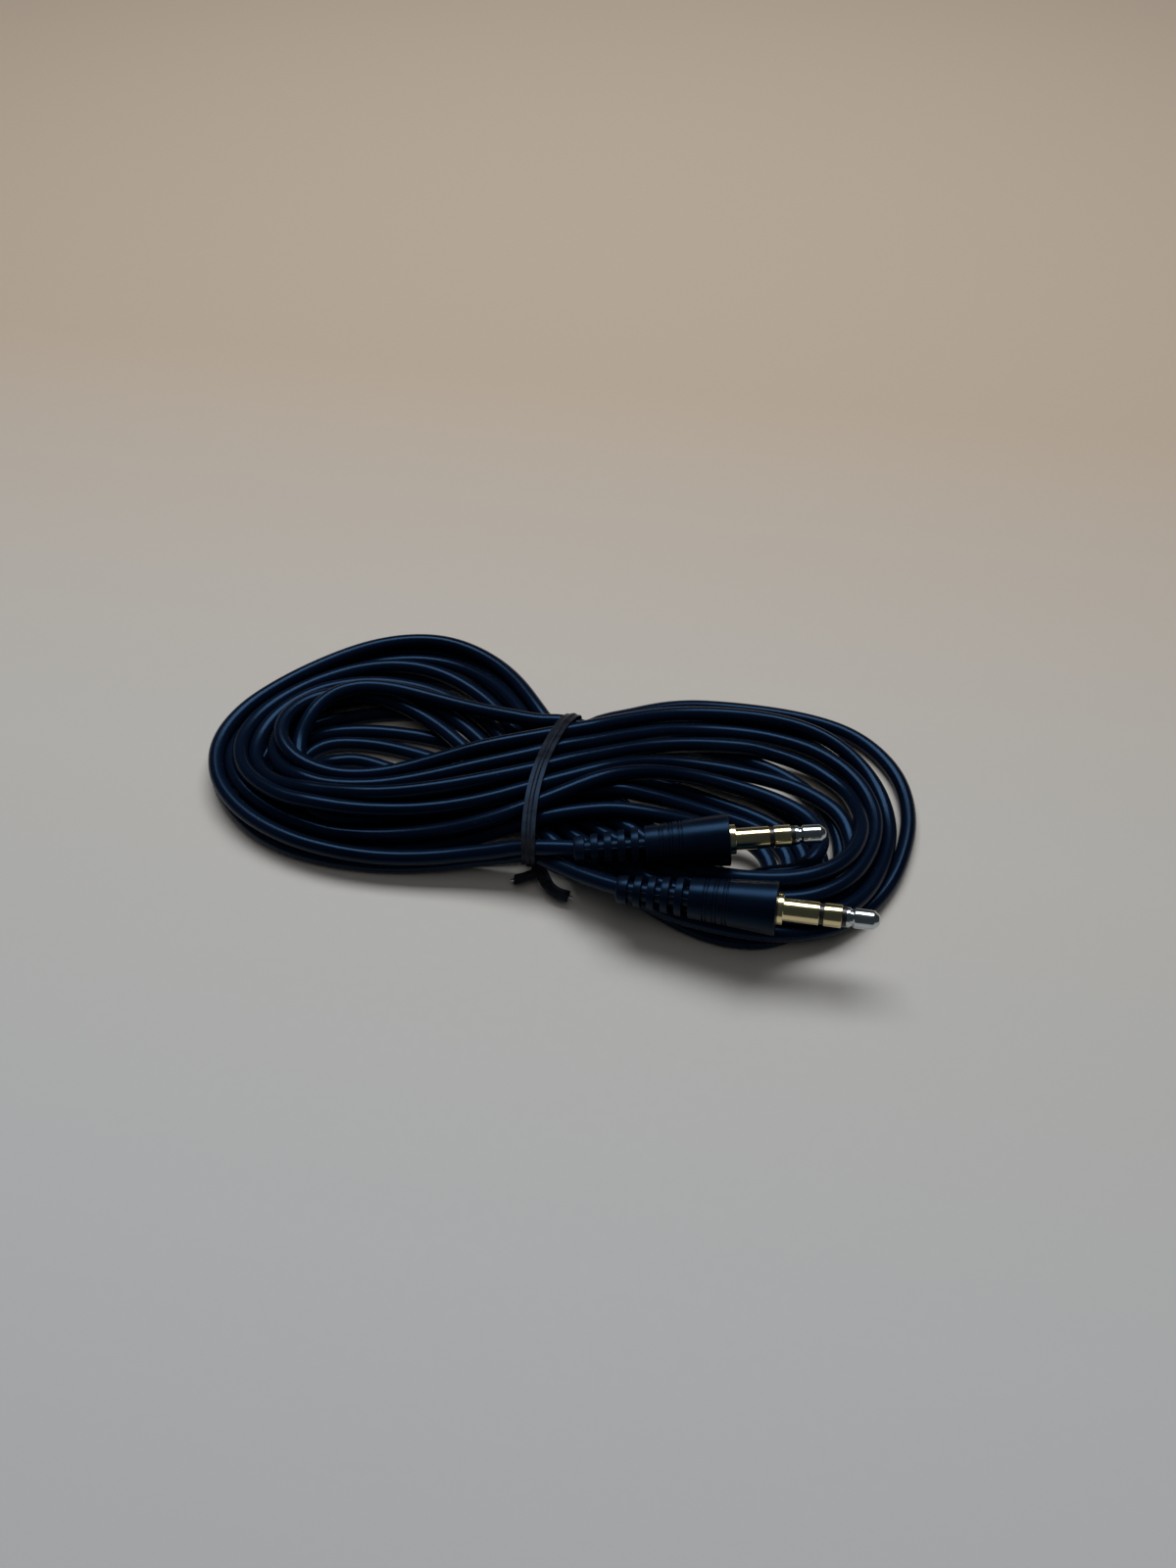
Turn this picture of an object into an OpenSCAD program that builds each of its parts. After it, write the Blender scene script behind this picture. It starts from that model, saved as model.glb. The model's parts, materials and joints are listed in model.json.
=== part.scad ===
// Audio cable with two moulded 3.5 mm three-contact plugs, wound as a flat
// figure-of-eight hank and held at its waist by a wire-cored ribbon tie.
// Millimetres. +Z up, the hank lies on z = 0 with its long way along X.

/* [Cord] */
// Outer diameter of the round cord
cord_d = 2.6; // [2.3:0.05:2.65]
// Diameter of one insulated core wire
core_d = 0.6; // [0.45:0.05:0.64]
// Diameter of the gathered shield drain
drain_d = 0.44; // [0.3:0.02:0.5]

/* [Hank] */
// Turns from the outside to the fold, wound again on top of themselves
turns = 5; // [3:1:5]
// Half length of the hank to the middle of its outermost loop
reach = 60; // [58:0.5:72]
// Half width of a lobe to the middle of its outermost loop
half = 25.8; // [25:0.2:30]
// Free space between neighbouring loops at the ends of the lobes
end_gap = 0.62; // [0.55:0.01:0.75]
// Half width that each loop loses to the one outside it
side_step = 2.23; // [2.15:0.01:2.35]
// Free space between neighbouring runs at the waist
waist_gap = 1.6; // [1.5:0.05:1.8]
// Free space between one layer of cord and the next
layer_gap = 0.65; // [0.6:0.05:0.9]
// Height by which the tie lifts the waist
waist_rise = 1.2; // [1:0.1:1.6]

/* [Plug boot] */
// Length of the moulded boot
boot_len = 24; // [23:0.5:30]
// Diameter of the boot where the cord goes in
boot_rear_d = 4.2; // [4:0.1:5]
// Diameter of the boot at its front face
boot_front_d = 8.2; // [7.6:0.1:9.5]
// Strain relief slots across the boot
slot_count = 5; // [2:1:5]
// Distance of the first slot from the rear
slot_first = 1.7; // [1.2:0.1:2]
// Width of one slot
slot_w = 0.95; // [0.6:0.05:1.1]
// Boot left between the last slot and the inner mould
slot_end_wall = 0.25; // [0.2:0.05:0.5]
// Width of the two bars that bridge each slot, on the boot's sides
bridge_w = 0.8; // [0.6:0.1:1.5]
// Wall left between a slot and the cord
slot_wall = 0.2; // [0.1:0.05:0.2]
// Distance of the first pair of grip grooves from the rear
groove_start = 13.2; // [12:0.1:14]
// Pairs of grip grooves
groove_pairs = 3; // [1:1:4]
// Distance from one pair of grooves to the next
groove_pitch = 1.5; // [1.2:0.1:2]
// Distance between the two grooves of a pair
groove_split = 0.5; // [0.4:0.05:0.8]
// Width and depth of one groove
groove_w = 0.2; // [0.1:0.05:0.3]

/* [Plug contacts] */
// Diameter of the sleeve and ring contacts
pin_d = 3.5; // [3.45:0.05:3.55]
// Diameter of the insulating collars between the contacts
collar_d = 3.1; // [2.9:0.05:3.15]
// Diameter of the flange against the boot
flange_d = 4.8; // [4.4:0.1:6]
// Thickness of the flange
flange_t = 1.0; // [0.6:0.1:1.5]
// Length of the sleeve contact in front of the flange
sleeve_len = 5.2; // [4.6:0.1:6]
// Length of one insulating collar
collar_len = 0.65; // [0.4:0.05:0.9]
// Length of the ring contact
ring_len = 2.6; // [2:0.1:3]
// Length of the tip contact's head
tip_len = 4.9; // [4.5:0.1:5.5]
// Largest diameter of the tip's head
tip_d = 3.3; // [3.1:0.05:3.45]
// Diameter of the groove behind the tip's head
tip_neck_d = 2.6; // [2.3:0.05:2.9]
// Diameter of the tip's blunt end
tip_end_d = 1.4; // [1:0.1:2]
// Bore of the sleeve contact
sleeve_bore_d = 2.6; // [2.5:0.02:2.7]
// Outer diameter of the ring contact's tube
ring_tube_d = 2.1; // [2:0.02:2.2]
// Bore of the ring contact's tube
ring_bore_d = 1.5; // [1.4:0.02:1.6]
// Diameter of the tip contact's rod
rod_d = 0.95; // [0.85:0.02:1]

/* [Inside the boot] */
// Length of cord held in the inner mould
cord_in_mould = 1; // [0.5:0.1:1.5]
// Length of the inner mould
mould_len = 8.2; // [8:0.1:9.2]
// Outer diameter of the inner mould
mould_d = 4.9; // [4.7:0.05:5.1]
// Wall of the inner mould
mould_wall = 0.5; // [0.35:0.05:0.6]
// Diameter of the sleeve contact's root in the boot
root_d = 4.4; // [4:0.1:4.6]
// Length of the sleeve contact's root
root_len = 4.5; // [4.2:0.1:5]
// Thickness of the solder lugs
lug_t = 0.3; // [0.2:0.02:0.35]
// Width of a lug's tail
tail_w = 1.0; // [0.8:0.05:1.1]

/* [Ribbon tie] */
// Width of the ribbon
ribbon_w = 2.2; // [1.8:0.1:2.4]
// Thickness of the ribbon's two webs
web_t = 0.2; // [0.15:0.05:0.3]
// Thickness of the ribbon over its wire
ribbon_core_t = 0.66; // [0.6:0.02:0.7]
// Diameter of the wire in the ribbon
wire_d = 0.4; // [0.3:0.02:0.42]

/* [Fits] */
// Radial clearance between pieces that fit in one another
fit = 0.03; // [0.02:0.01:0.04]
// Radial clearance round the cord in its boot and mould
cord_fit = 0.05; // [0.04:0.01:0.08]
// Clearance between the boots and the loops they lie on
seat_gap = 0.8; // [0.7:0.05:1.2]
// Clearance between the tie and the cord it holds
tie_gap = 0.35; // [0.3:0.05:0.5]

/* [Hidden] */

jacket = [0.03, 0.03, 0.06];
gold = [0.86, 0.78, 0.55];
silver = [0.8, 0.84, 0.86];
tin = [0.68, 0.68, 0.7];
black = [0.07, 0.07, 0.08];

// ---- Places along a plug's axis, from the boot's rear end towards the tip ----
front = boot_len;
sleeve_x = front + flange_t;
collar_1_x = sleeve_x + sleeve_len;
ring_x = collar_1_x + collar_len;
collar_2_x = ring_x + ring_len;
tip_x = collar_2_x + collar_len;
mould_x = front - root_len - mould_len;
mould_end_x = mould_x + mould_len;
cord_hold = mould_x + cord_in_mould;
slot_pitch = (mould_x - slot_end_wall - slot_w - slot_first) / max(1, slot_count - 1);
spigot_len = 1.4;
spigot_wall = 0.2;
spigot_d = sleeve_bore_d + 2 * spigot_wall;
spigot_x = mould_end_x - spigot_len;
lug_inset = 0.4;
ground_lug_x = mould_end_x - lug_inset - lug_t;
tube_out = 2;
tube_lip = 0.2;
ring_tube_x = spigot_x - tube_out;
ring_lug_x = ring_tube_x + tube_lip;
spacer_len = 0.6;
spacer_x = ring_tube_x - spacer_len;
spacer_d = 2.4;
tip_lug_x = spacer_x - lug_t;
tip_lug_d = 2.0;
rod_lip = 0.1;
rod_x = tip_lug_x - rod_lip;
tail_t = 0.25;
tip_tail_z = 0.78;
ring_tail_z = 1.3;
ground_tail_z = 1.55;
tip_tail_len = 1.9;
ring_tail_step = 0.6;
ground_tail_step = 1.6;
tip_tail_x = rod_x - tip_tail_len;
ring_tail_x = tip_tail_x + ring_tail_step;
ground_tail_x = tip_tail_x + ground_tail_step;
wire_rise = 0.05;
wire_overlap = 0.2;
solder_len = 0.8;

// ---- Places of the two plugs: rear end on the ground plan, and heading ----
nose_up = asin((boot_front_d - boot_rear_d) / 2 / boot_len);
upper_rear = [4.1, -14.1];
upper_heading = 11.2;
lower_rear = [11.9, -20.2];
lower_heading = -1.8;

// ---- The hank's loops ----
loop_rings = 24;
cord_r = cord_d / 2;
floor_cut = 0.1 * cord_d;
first_z = cord_r - floor_cut;
layer_lift = cord_d + layer_gap;
end_step = cord_d + end_gap;
waist_step = cord_d + waist_gap;
waist_share = 0.13;
waist_power = 0.5;
climb_in = 0.3;
climb_out = 0.92;
fold_spare = 0.6;
fold_blend = [-0.56, -0.4];
fold_climb = [-1, -0.7];
rise_from = 2;
rise_to = 14;

function mix(a, b, t) = a + (b - a) * t;
function smooth(a, b, v) = let (t = max(0, min(1, (v - a) / (b - a)))) t * t * (3 - 2 * t);
function unit(v) = v / norm(v);

// One point of a loop on the ground plan. The angle runs once round both lobes,
// and slot 0 is the outermost loop on the left and the innermost on the right.
function loop_point(angle, slot) =
    let (
        c = cos(angle),
        s = sin(angle),
        right = smooth(-1, 1, c),
        x_half = reach - mix(slot, turns - slot, right) * end_step,
        offset = waist_step * (slot - turns / 2),
        y_half = half - mix(slot, turns - slot, right) * side_step
            - waist_share * mix(-1, 1, right) * offset
    )
    [x_half * c, y_half * sin(2 * angle) + offset * s * pow(abs(s), waist_power)];

// Height of a loop: the rising run lies over the falling one at the waist.
function loop_height(angle, layer) =
    let (over = sin(angle) > 1e-6 ? 2 * layer_lift * (1 - smooth(climb_in, climb_out, abs(cos(angle)))) : 0)
    first_z + layer * layer_lift + over;

// The tie lifts every run at the waist by the same amount.
function lifted(p, z) = [p[0], p[1], z + waist_rise * (1 - smooth(rise_from, rise_to, abs(p[0])))];

function turn_angle(i) = 90 + 360 * i / loop_rings;
wound = [for (i = [1 : turns * loop_rings]) let (a = turn_angle(i))
    lifted(loop_point(a, i / loop_rings), loop_height(a, 0))];
wound_again = [for (i = [turns * loop_rings : -1 : 1]) let (a = turn_angle(i))
    lifted(loop_point(a, i / loop_rings), loop_height(a, 1))];

// The fold is the innermost loop of the left lobe: it leaves the first layer on
// the rising run and comes back over it in the second layer.
folded = [for (i = [1 : loop_rings / 2 - 1])
    let (
        a = turn_angle(turns * loop_rings + i),
        out = loop_point(a, min(turns + i / loop_rings, turns + fold_spare)),
        back = loop_point(-a, turns),
        t = smooth(fold_blend[0], fold_blend[1], cos(a)),
        climb = smooth(fold_climb[0], fold_climb[1], cos(a))
    )
    sin(a) > -1e-6 ? lifted(out, loop_height(a, 0))
        : lifted(mix(out, back, t), mix(first_z, loop_height(-a, 1), climb))];
hank_body = concat(wound, folded, wound_again);

// Each end of the hank runs on straight for one diameter.
function run_on(p, q, by) = p + by * unit([p[0] - q[0], p[1] - q[1], 0]);
hank_last = len(hank_body) - 1;
lower_end = run_on(hank_body[0], hank_body[1], cord_d);
upper_end = run_on(hank_body[hank_last], hank_body[hank_last - 1], cord_d);
hank_route = concat([lower_end], hank_body, [upper_end]);

// Least free space between two parts of a route that are not next to each other,
// measured from four points on each chord to every chord that is not close by.
function to_chord(p, a, b) =
    let (t = max(0, min(1, (p - a) * (b - a) / ((b - a) * (b - a))))) norm(p - a - t * (b - a));
function least_gap(route, d, apart) =
    let (last = len(route) - 2)
    min([for (i = [0 : last], k = [0 : 3]) let (p = mix(route[i], route[i + 1], k / 4))
        min([for (j = [0 : last]) abs(i - j) > apart ? to_chord(p, route[j], route[j + 1]) : 1000])]) - d;
function route_length(route) = [for (i = [1 : len(route) - 1]) norm(route[i] - route[i - 1])]
    * [for (i = [1 : len(route) - 1]) 1];

// ---- The two leads, from the hank's ends to inside the boots ----
// Middle of each lead on the ground plan, with its height over the boots' seat.
upper_lead_via = [[-7, -14.4, 4.1], [-2, -14, 3.3]];
lower_lead_via = [[-7, -15.6, 1], [-2, -17, 1.1], [3, -18.8, 1.4]];
straight = 2.4;
boot_seat = first_z + layer_lift + cord_r + seat_gap;

function axis_of(heading) = [cos(nose_up) * cos(heading), cos(nose_up) * sin(heading), sin(nose_up)];
function rear_of(place) = [place[0], place[1], boot_seat + boot_rear_d / 2];
function lead_route(end, before, via, place, heading) =
    let (
        axis = axis_of(heading),
        rear = rear_of(place),
        away = unit([end[0] - before[0], end[1] - before[1], 0])
    )
    concat(
        [end, end + away * cord_d / 2],
        [for (p = via) [p[0], p[1], boot_seat + p[2]]],
        [rear - straight * axis, rear - straight / 2 * axis, rear, rear + cord_hold / 2 * axis,
            rear + cord_hold * axis]);
upper_route = lead_route(upper_end, hank_body[hank_last], upper_lead_via, upper_rear, upper_heading);
lower_route = lead_route(lower_end, hank_body[0], lower_lead_via, lower_rear, lower_heading);

// ---- The ribbon tie round the waist and both leads ----
tie_thick = ribbon_core_t / 2;
tie_spare = 1;
tie_front = lower_lead_via[1][1] - cord_r - tie_gap - tie_thick - tie_spare;
tie_back = waist_step * turns / 2 + cord_r + tie_gap + tie_thick;
tie_top = first_z + 3 * layer_lift + waist_rise + cord_r + tie_gap + tie_thick;
tie_low = (first_z + waist_rise - cord_r) / 2;
tie_corner = 4;
tie_corner_rings = 5;
tie_side_gap = 0.2;
tie_aside = ribbon_w / 2 + tie_side_gap;
tie_knot_z = 4.4;
left_tail = [[-6.8, -1.2, 1.6], [-5, -1, 2.1], [-3.2, -0.5, 2.7], [-1.8, -0.1, 3.2]];
right_tail = [[1.8, -0.1, 3.2], [3.2, -0.5, 2.7], [5, -1, 2.1], [6.8, -1.2, 1.6]];

// A ring of the tie is a place and the way its flat side faces.
function tie_arc(cy, cz, from) = [for (i = [0 : tie_corner_rings])
    let (a = from + 90 * i / tie_corner_rings)
    [[0, cy + tie_corner * cos(a), cz + tie_corner * sin(a)], [0, cos(a), sin(a)]]];
// The loop runs up the front, over the top, down the back and under the waist.
function reversed(list) = [for (i = [len(list) - 1 : -1 : 0]) list[i]];
tie_loop = concat(
    [[[0, tie_front, tie_knot_z + 1], [0, -1, 0]]],
    reversed(tie_arc(tie_front + tie_corner, tie_top - tie_corner, 90)),
    reversed(tie_arc(tie_back - tie_corner, tie_top - tie_corner, 0)),
    reversed(tie_arc(tie_back - tie_corner, tie_low + tie_corner, 270)),
    reversed(tie_arc(tie_front + tie_corner, tie_low + tie_corner, 180)),
    [[[0, tie_front, tie_knot_z - 1], [0, -1, 0]]]);
tie_last = len(tie_loop) - 1;
function tie_tail(points) = [for (p = points) [[p[0], tie_front + p[1], p[2]], [0, -1, 0]]];
tie_rings = concat(
    tie_tail(left_tail),
    [for (i = [0 : tie_last]) [tie_loop[i][0] + [mix(-tie_aside, tie_aside, i / tie_last), 0, 0], tie_loop[i][1]]],
    tie_tail(right_tail));
web = [ribbon_w / 2, web_t / 2];
hump = [0.35, ribbon_core_t / 2];
ribbon_outline = [[web[0], -web[1]], [web[0], web[1]], [hump[0], hump[1]], [-hump[0], hump[1]],
    [-web[0], web[1]], [-web[0], -web[1]], [-hump[0], -hump[1]], [hump[0], -hump[1]]];
function wire_outline(r) = [for (a = [-20, 20, 60, 120, 160, 200, 240, 300]) [r * cos(a), r * sin(a)]];

// ---- Swept bodies ----
function tangent(route, i) = unit(route[min(i + 1, len(route) - 1)] - route[max(i - 1, 0)]);
function ring_frame(t) = let (u = unit(cross([0, 0, 1], t))) [u, cross(t, u)];
function tube_points(route, r, sides) = [for (i = [0 : len(route) - 1], k = [0 : sides - 1])
    let (f = ring_frame(tangent(route, i)), a = 90 + 360 * k / sides)
    route[i] + r * cos(a) * f[0] + r * sin(a) * f[1]];
function wall_faces(rings, sides, base, flip) = [for (i = [0 : rings - 2], k = [0 : sides - 1])
    let (a = base + i * sides + k, b = base + i * sides + (k + 1) % sides, c = a + sides, d = b + sides)
    for (f = flip ? [[a, b, d], [a, d, c]] : [[a, d, b], [a, c, d]]) f];
function cap_faces(rings, sides) = let (last = (rings - 1) * sides) concat(
    [for (k = [1 : sides - 2]) [0, k, k + 1]],
    [for (k = [1 : sides - 2]) [last, last + k + 1, last + k]]);

module tube(route, r, sides) {
    polyhedron(tube_points(route, r, sides),
        concat(wall_faces(len(route), sides, 0, false), cap_faces(len(route), sides)), 10);
}

// Rings of an outline swept along the tie, its width across the way it runs.
function tie_point(i, p) =
    let (
        t = unit(tie_rings[min(i + 1, len(tie_rings) - 1)][0] - tie_rings[max(i - 1, 0)][0]),
        across = unit(cross(t, tie_rings[i][1])),
        face = cross(across, t)
    )
    tie_rings[i][0] + p[0] * across + p[1] * face;
function tie_points(outline) = [for (i = [0 : len(tie_rings) - 1], p = outline) tie_point(i, p)];

// ---- A plug's pieces, along +X from the boot's rear end ----
module rod(x, length, d) {
    translate([x, 0, 0])
        rotate([0, 90, 0])
            cylinder(h = length, d = d, $fn = 48);
}

module ring_shape(x, length, outer, inner) {
    difference() {
        rod(x, length, outer);
        rod(x - 1, length + 2, inner);
    }
}

module tail(x, length, z) {
    translate([x, -tail_w / 2, z])
        cube([length, tail_w, tail_t]);
}

module boot_slot(i) {
    difference() {
        ring_shape(slot_first + i * slot_pitch, slot_w, boot_front_d + 1, cord_d + 2 * cord_fit + 2 * slot_wall);
        translate([0, -boot_front_d, -bridge_w / 2])
            cube([boot_len, 2 * boot_front_d, bridge_w]);
    }
}

function boot_d(x) = mix(boot_rear_d, boot_front_d, x / boot_len);

module boot() {
    color(jacket)
        difference() {
            rotate([0, 90, 0])
                cylinder(h = boot_len, d1 = boot_rear_d, d2 = boot_front_d, $fn = 64);
            rod(-1, mould_x + 2, cord_d + 2 * cord_fit);
            rod(mould_x, mould_len, mould_d + 2 * fit);
            rod(mould_end_x - 1, root_len + 2, root_d + 2 * fit);
            for (i = [0 : slot_count - 1])
                boot_slot(i);
            for (i = [0 : groove_pairs - 1], j = [0, 1])
                let (x = groove_start + i * groove_pitch + j * groove_split)
                    ring_shape(x, groove_w, boot_front_d + 1, boot_d(x) - 2 * groove_w);
        }
}

module inner_mould() {
    color("ivory")
        difference() {
            rod(mould_x, mould_len, mould_d);
            rod(mould_x - 1, cord_hold - mould_x + 1, cord_d + 2 * cord_fit);
            rod(cord_hold, mould_end_x - cord_hold + 1, mould_d - 2 * mould_wall);
        }
}

module sleeve_contact() {
    color(gold)
        difference() {
            union() {
                rod(spigot_x, spigot_len, spigot_d);
                rod(mould_end_x, root_len, root_d);
                rod(front, flange_t, flange_d);
                rod(sleeve_x, sleeve_len, pin_d);
            }
            rod(spigot_x - 1, collar_1_x - spigot_x + 2, sleeve_bore_d);
        }
}

module ground_lug() {
    color(tin) {
        ring_shape(ground_lug_x, lug_t, 2 * (ground_tail_z + tail_t), spigot_d + 2 * fit);
        rotate([-90, 0, 0])
            tail(ground_tail_x, ground_lug_x - ground_tail_x + lug_t, ground_tail_z);
    }
}

module sleeve_insulator() {
    color(black)
        difference() {
            union() {
                rod(spigot_x, collar_1_x - spigot_x, sleeve_bore_d - 2 * fit);
                rod(collar_1_x, collar_len, collar_d);
            }
            rod(spigot_x - 1, ring_x - spigot_x + 2, ring_tube_d + 2 * fit);
        }
}

module ring_contact() {
    color(gold)
        difference() {
            union() {
                rod(ring_tube_x, ring_x - ring_tube_x, ring_tube_d);
                rod(ring_x, ring_len, pin_d);
            }
            rod(ring_tube_x - 1, collar_2_x - ring_tube_x + 2, ring_bore_d);
        }
}

module ring_lug() {
    color(tin) {
        ring_shape(ring_lug_x, lug_t, 2 * (ring_tail_z + tail_t), ring_tube_d + 2 * fit);
        rotate([180, 0, 0])
            tail(ring_tail_x, ring_lug_x - ring_tail_x + lug_t, ring_tail_z);
    }
}

module ring_insulator() {
    color(black)
        difference() {
            union() {
                rod(ring_tube_x, collar_2_x - ring_tube_x, ring_bore_d - 2 * fit);
                rod(collar_2_x, collar_len, collar_d);
            }
            rod(ring_tube_x - 1, tip_x - ring_tube_x + 2, rod_d + 2 * fit);
        }
}

// Head of the tip: a collar, a waist for the jack's spring, a barrel and a cone.
module tip_head() {
    lip = 0.5;
    neck = 0.9;
    flare = 1.4;
    cone = 1.5;
    rotate([0, 90, 0])
        rotate_extrude($fn = 64)
            polygon([
                [0, tip_x],
                [tip_d / 2 - 0.1, tip_x],
                [tip_d / 2 - 0.1, tip_x + lip],
                [tip_neck_d / 2, tip_x + neck],
                [tip_d / 2, tip_x + flare],
                [tip_d / 2, tip_x + tip_len - cone],
                [tip_end_d / 2, tip_x + tip_len - 0.2],
                [tip_end_d / 2 - 0.2, tip_x + tip_len],
                [0, tip_x + tip_len]]);
}

module tip_contact() {
    color(silver)
        union() {
            rod(rod_x, tip_x - rod_x + 0.5, rod_d);
            tip_head();
        }
}

module tip_lug() {
    color(tin) {
        ring_shape(tip_lug_x, lug_t, tip_lug_d, rod_d + 2 * fit);
        tail(tip_tail_x, tip_lug_x - tip_tail_x + lug_t, tip_tail_z - tail_t);
    }
}

module lug_spacer() {
    color(black)
        ring_shape(spacer_x, spacer_len, spacer_d, rod_d + 2 * fit);
}

// Height of a wire below the lug's tail that it is soldered to.
function under(z, d) = z - wire_rise - d / 2;
tip_wire_z = under(tip_tail_z - tail_t, core_d);
ring_wire_z = under(ring_tail_z, core_d);
ground_wire_z = under(ground_tail_z, drain_d);

module left_core_wire() {
    color("white")
        translate([0, 0, tip_wire_z])
            rod(cord_hold, tip_tail_x - cord_hold + wire_overlap, core_d);
}

module right_core_wire() {
    color("red")
        translate([0, 0, -ring_wire_z])
            rod(cord_hold, ring_tail_x - cord_hold + wire_overlap, core_d);
}

module shield_drain() {
    color("peru")
        translate([0, ground_wire_z, 0])
            rod(cord_hold, ground_tail_x - cord_hold + wire_overlap, drain_d);
}

module solder_joints() {
    color("gainsboro") {
        translate([0, 0, tip_wire_z])
            rod(tip_tail_x + wire_overlap, solder_len, core_d);
        translate([0, 0, -ring_wire_z])
            rod(ring_tail_x + wire_overlap, solder_len, core_d);
        translate([0, ground_wire_z, 0])
            rod(ground_tail_x + wire_overlap, solder_len, drain_d);
    }
}

module place(upper) {
    translate(rear_of(upper ? upper_rear : lower_rear))
        rotate([0, -nose_up, upper ? upper_heading : lower_heading])
            children();
}

// ---- The cord and the tie ----
module hank_cord() {
    color(jacket)
        difference() {
            tube(hank_route, cord_r, 6);
            translate([-2 * reach, -2 * half, -cord_d])
                cube([4 * reach, 4 * half, cord_d]);
        }
}

module lead(route) {
    color(jacket)
        tube(route, cord_r, 8);
}

module tie_ribbon() {
    hole = wire_outline(wire_d / 2 + fit);
    sides = len(ribbon_outline);
    rings = len(tie_rings);
    far = rings * sides;
    last = (rings - 1) * sides;
    color(black)
        polyhedron(concat(tie_points(ribbon_outline), tie_points(hole)),
            concat(
                wall_faces(rings, sides, 0, false),
                wall_faces(rings, sides, far, true),
                [for (k = [0 : sides - 1]) let (n = (k + 1) % sides)
                    for (f = [[k, n, far + n], [k, far + n, far + k]]) f],
                [for (k = [0 : sides - 1]) let (n = (k + 1) % sides)
                    for (f = [[last + k, last + far + n, last + n], [last + k, last + far + k, last + far + n]]) f]),
            10);
}

module tie_wire() {
    sides = len(wire_outline(1));
    rings = len(tie_rings);
    color("silver")
        polyhedron(tie_points(wire_outline(wire_d / 2)),
            concat(wall_faces(rings, sides, 0, false), cap_faces(rings, sides)), 10);
}

union() {  // hank_cord
    echo(str("least gap of the hank to itself: ", least_gap(hank_route, cord_d, 4), " mm"));
    echo(str("length of cord in the hank: ", route_length(hank_route), " mm"));
}
union() {
    echo(str("length of the leads to the boots' front: ", route_length(upper_route), ", ", route_length(lower_route)));
    echo(upper_axis = axis_of(upper_heading), middle = rear_of(upper_rear)
        + (sleeve_x + sleeve_len / 2) * axis_of(upper_heading));
    echo(lower_axis = axis_of(lower_heading), middle = rear_of(lower_rear)
        + (sleeve_x + sleeve_len / 2) * axis_of(lower_heading));
}
hank_cord();
tie_ribbon();
tie_wire();
lead(upper_route);  // upper_lead
lead(lower_route);  // lower_lead
place(true) boot();  // upper_boot
place(false) boot();  // lower_boot
place(true) inner_mould();  // upper_inner_mould
place(false) inner_mould();  // lower_inner_mould
place(true) sleeve_contact();  // upper_sleeve_contact
place(false) sleeve_contact();  // lower_sleeve_contact
place(true) ground_lug();  // upper_ground_lug
place(false) ground_lug();  // lower_ground_lug
place(true) sleeve_insulator();  // upper_sleeve_insulator
place(false) sleeve_insulator();  // lower_sleeve_insulator
place(true) ring_contact();  // upper_ring_contact
place(false) ring_contact();  // lower_ring_contact
place(true) ring_lug();  // upper_ring_lug
place(false) ring_lug();  // lower_ring_lug
place(true) ring_insulator();  // upper_ring_insulator
place(false) ring_insulator();  // lower_ring_insulator
place(true) tip_contact();  // upper_tip_contact
place(false) tip_contact();  // lower_tip_contact
place(true) tip_lug();  // upper_tip_lug
place(false) tip_lug();  // lower_tip_lug
place(true) lug_spacer();  // upper_lug_spacer
place(false) lug_spacer();  // lower_lug_spacer
place(true) left_core_wire();  // upper_left_core_wire
place(false) left_core_wire();  // lower_left_core_wire
place(true) right_core_wire();  // upper_right_core_wire
place(false) right_core_wire();  // lower_right_core_wire
place(true) shield_drain();  // upper_shield_drain
place(false) shield_drain();  // lower_shield_drain
place(true) solder_joints();  // upper_solder_joints
place(false) solder_joints();  // lower_solder_joints
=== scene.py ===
import json
from math import asin, ceil, cos, pi, radians, sin, tau

import bmesh
import bpy
import numpy as np
from bpy.props import FloatProperty, FloatVectorProperty, IntProperty, PointerProperty
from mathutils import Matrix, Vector


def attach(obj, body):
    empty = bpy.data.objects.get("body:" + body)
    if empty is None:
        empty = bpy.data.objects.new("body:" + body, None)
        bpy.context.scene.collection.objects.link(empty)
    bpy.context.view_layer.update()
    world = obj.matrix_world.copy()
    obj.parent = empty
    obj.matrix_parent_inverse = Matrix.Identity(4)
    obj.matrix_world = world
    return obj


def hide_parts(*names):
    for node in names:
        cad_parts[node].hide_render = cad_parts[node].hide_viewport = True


bl_info = {
    "name": "Wound audio cable",
    "version": (1, 0, 0),
    "blender": (4, 5, 0),
    "location": "View3D > Sidebar > Cable",
    "description": "A slim audio cable in a figure-of-eight hank with two moulded plugs and a twist tie",
    "category": "Add Mesh",
}

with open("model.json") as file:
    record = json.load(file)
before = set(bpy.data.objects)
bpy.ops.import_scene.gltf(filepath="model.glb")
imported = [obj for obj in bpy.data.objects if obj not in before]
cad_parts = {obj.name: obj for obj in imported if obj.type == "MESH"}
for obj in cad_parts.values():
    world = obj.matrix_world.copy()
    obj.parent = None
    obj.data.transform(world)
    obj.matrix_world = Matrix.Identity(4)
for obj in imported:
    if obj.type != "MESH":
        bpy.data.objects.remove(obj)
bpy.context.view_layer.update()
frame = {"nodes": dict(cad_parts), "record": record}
MM = 0.001
BODY = "root"
SIDES = ("upper", "lower")


# ---- sizes and colours

def length(name, text, mm):
    return FloatProperty(name=name, description=text, default=mm * MM, min=0.0, unit="LENGTH", precision=5)


def colour(name, text, value):
    return FloatVectorProperty(name=name, description=text, default=value, size=3, subtype="COLOR", min=0.0, max=1.0)


def share(name, text, value):
    return FloatProperty(name=name, description=text, default=value, min=0.0, max=1.0, subtype="FACTOR")


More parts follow.
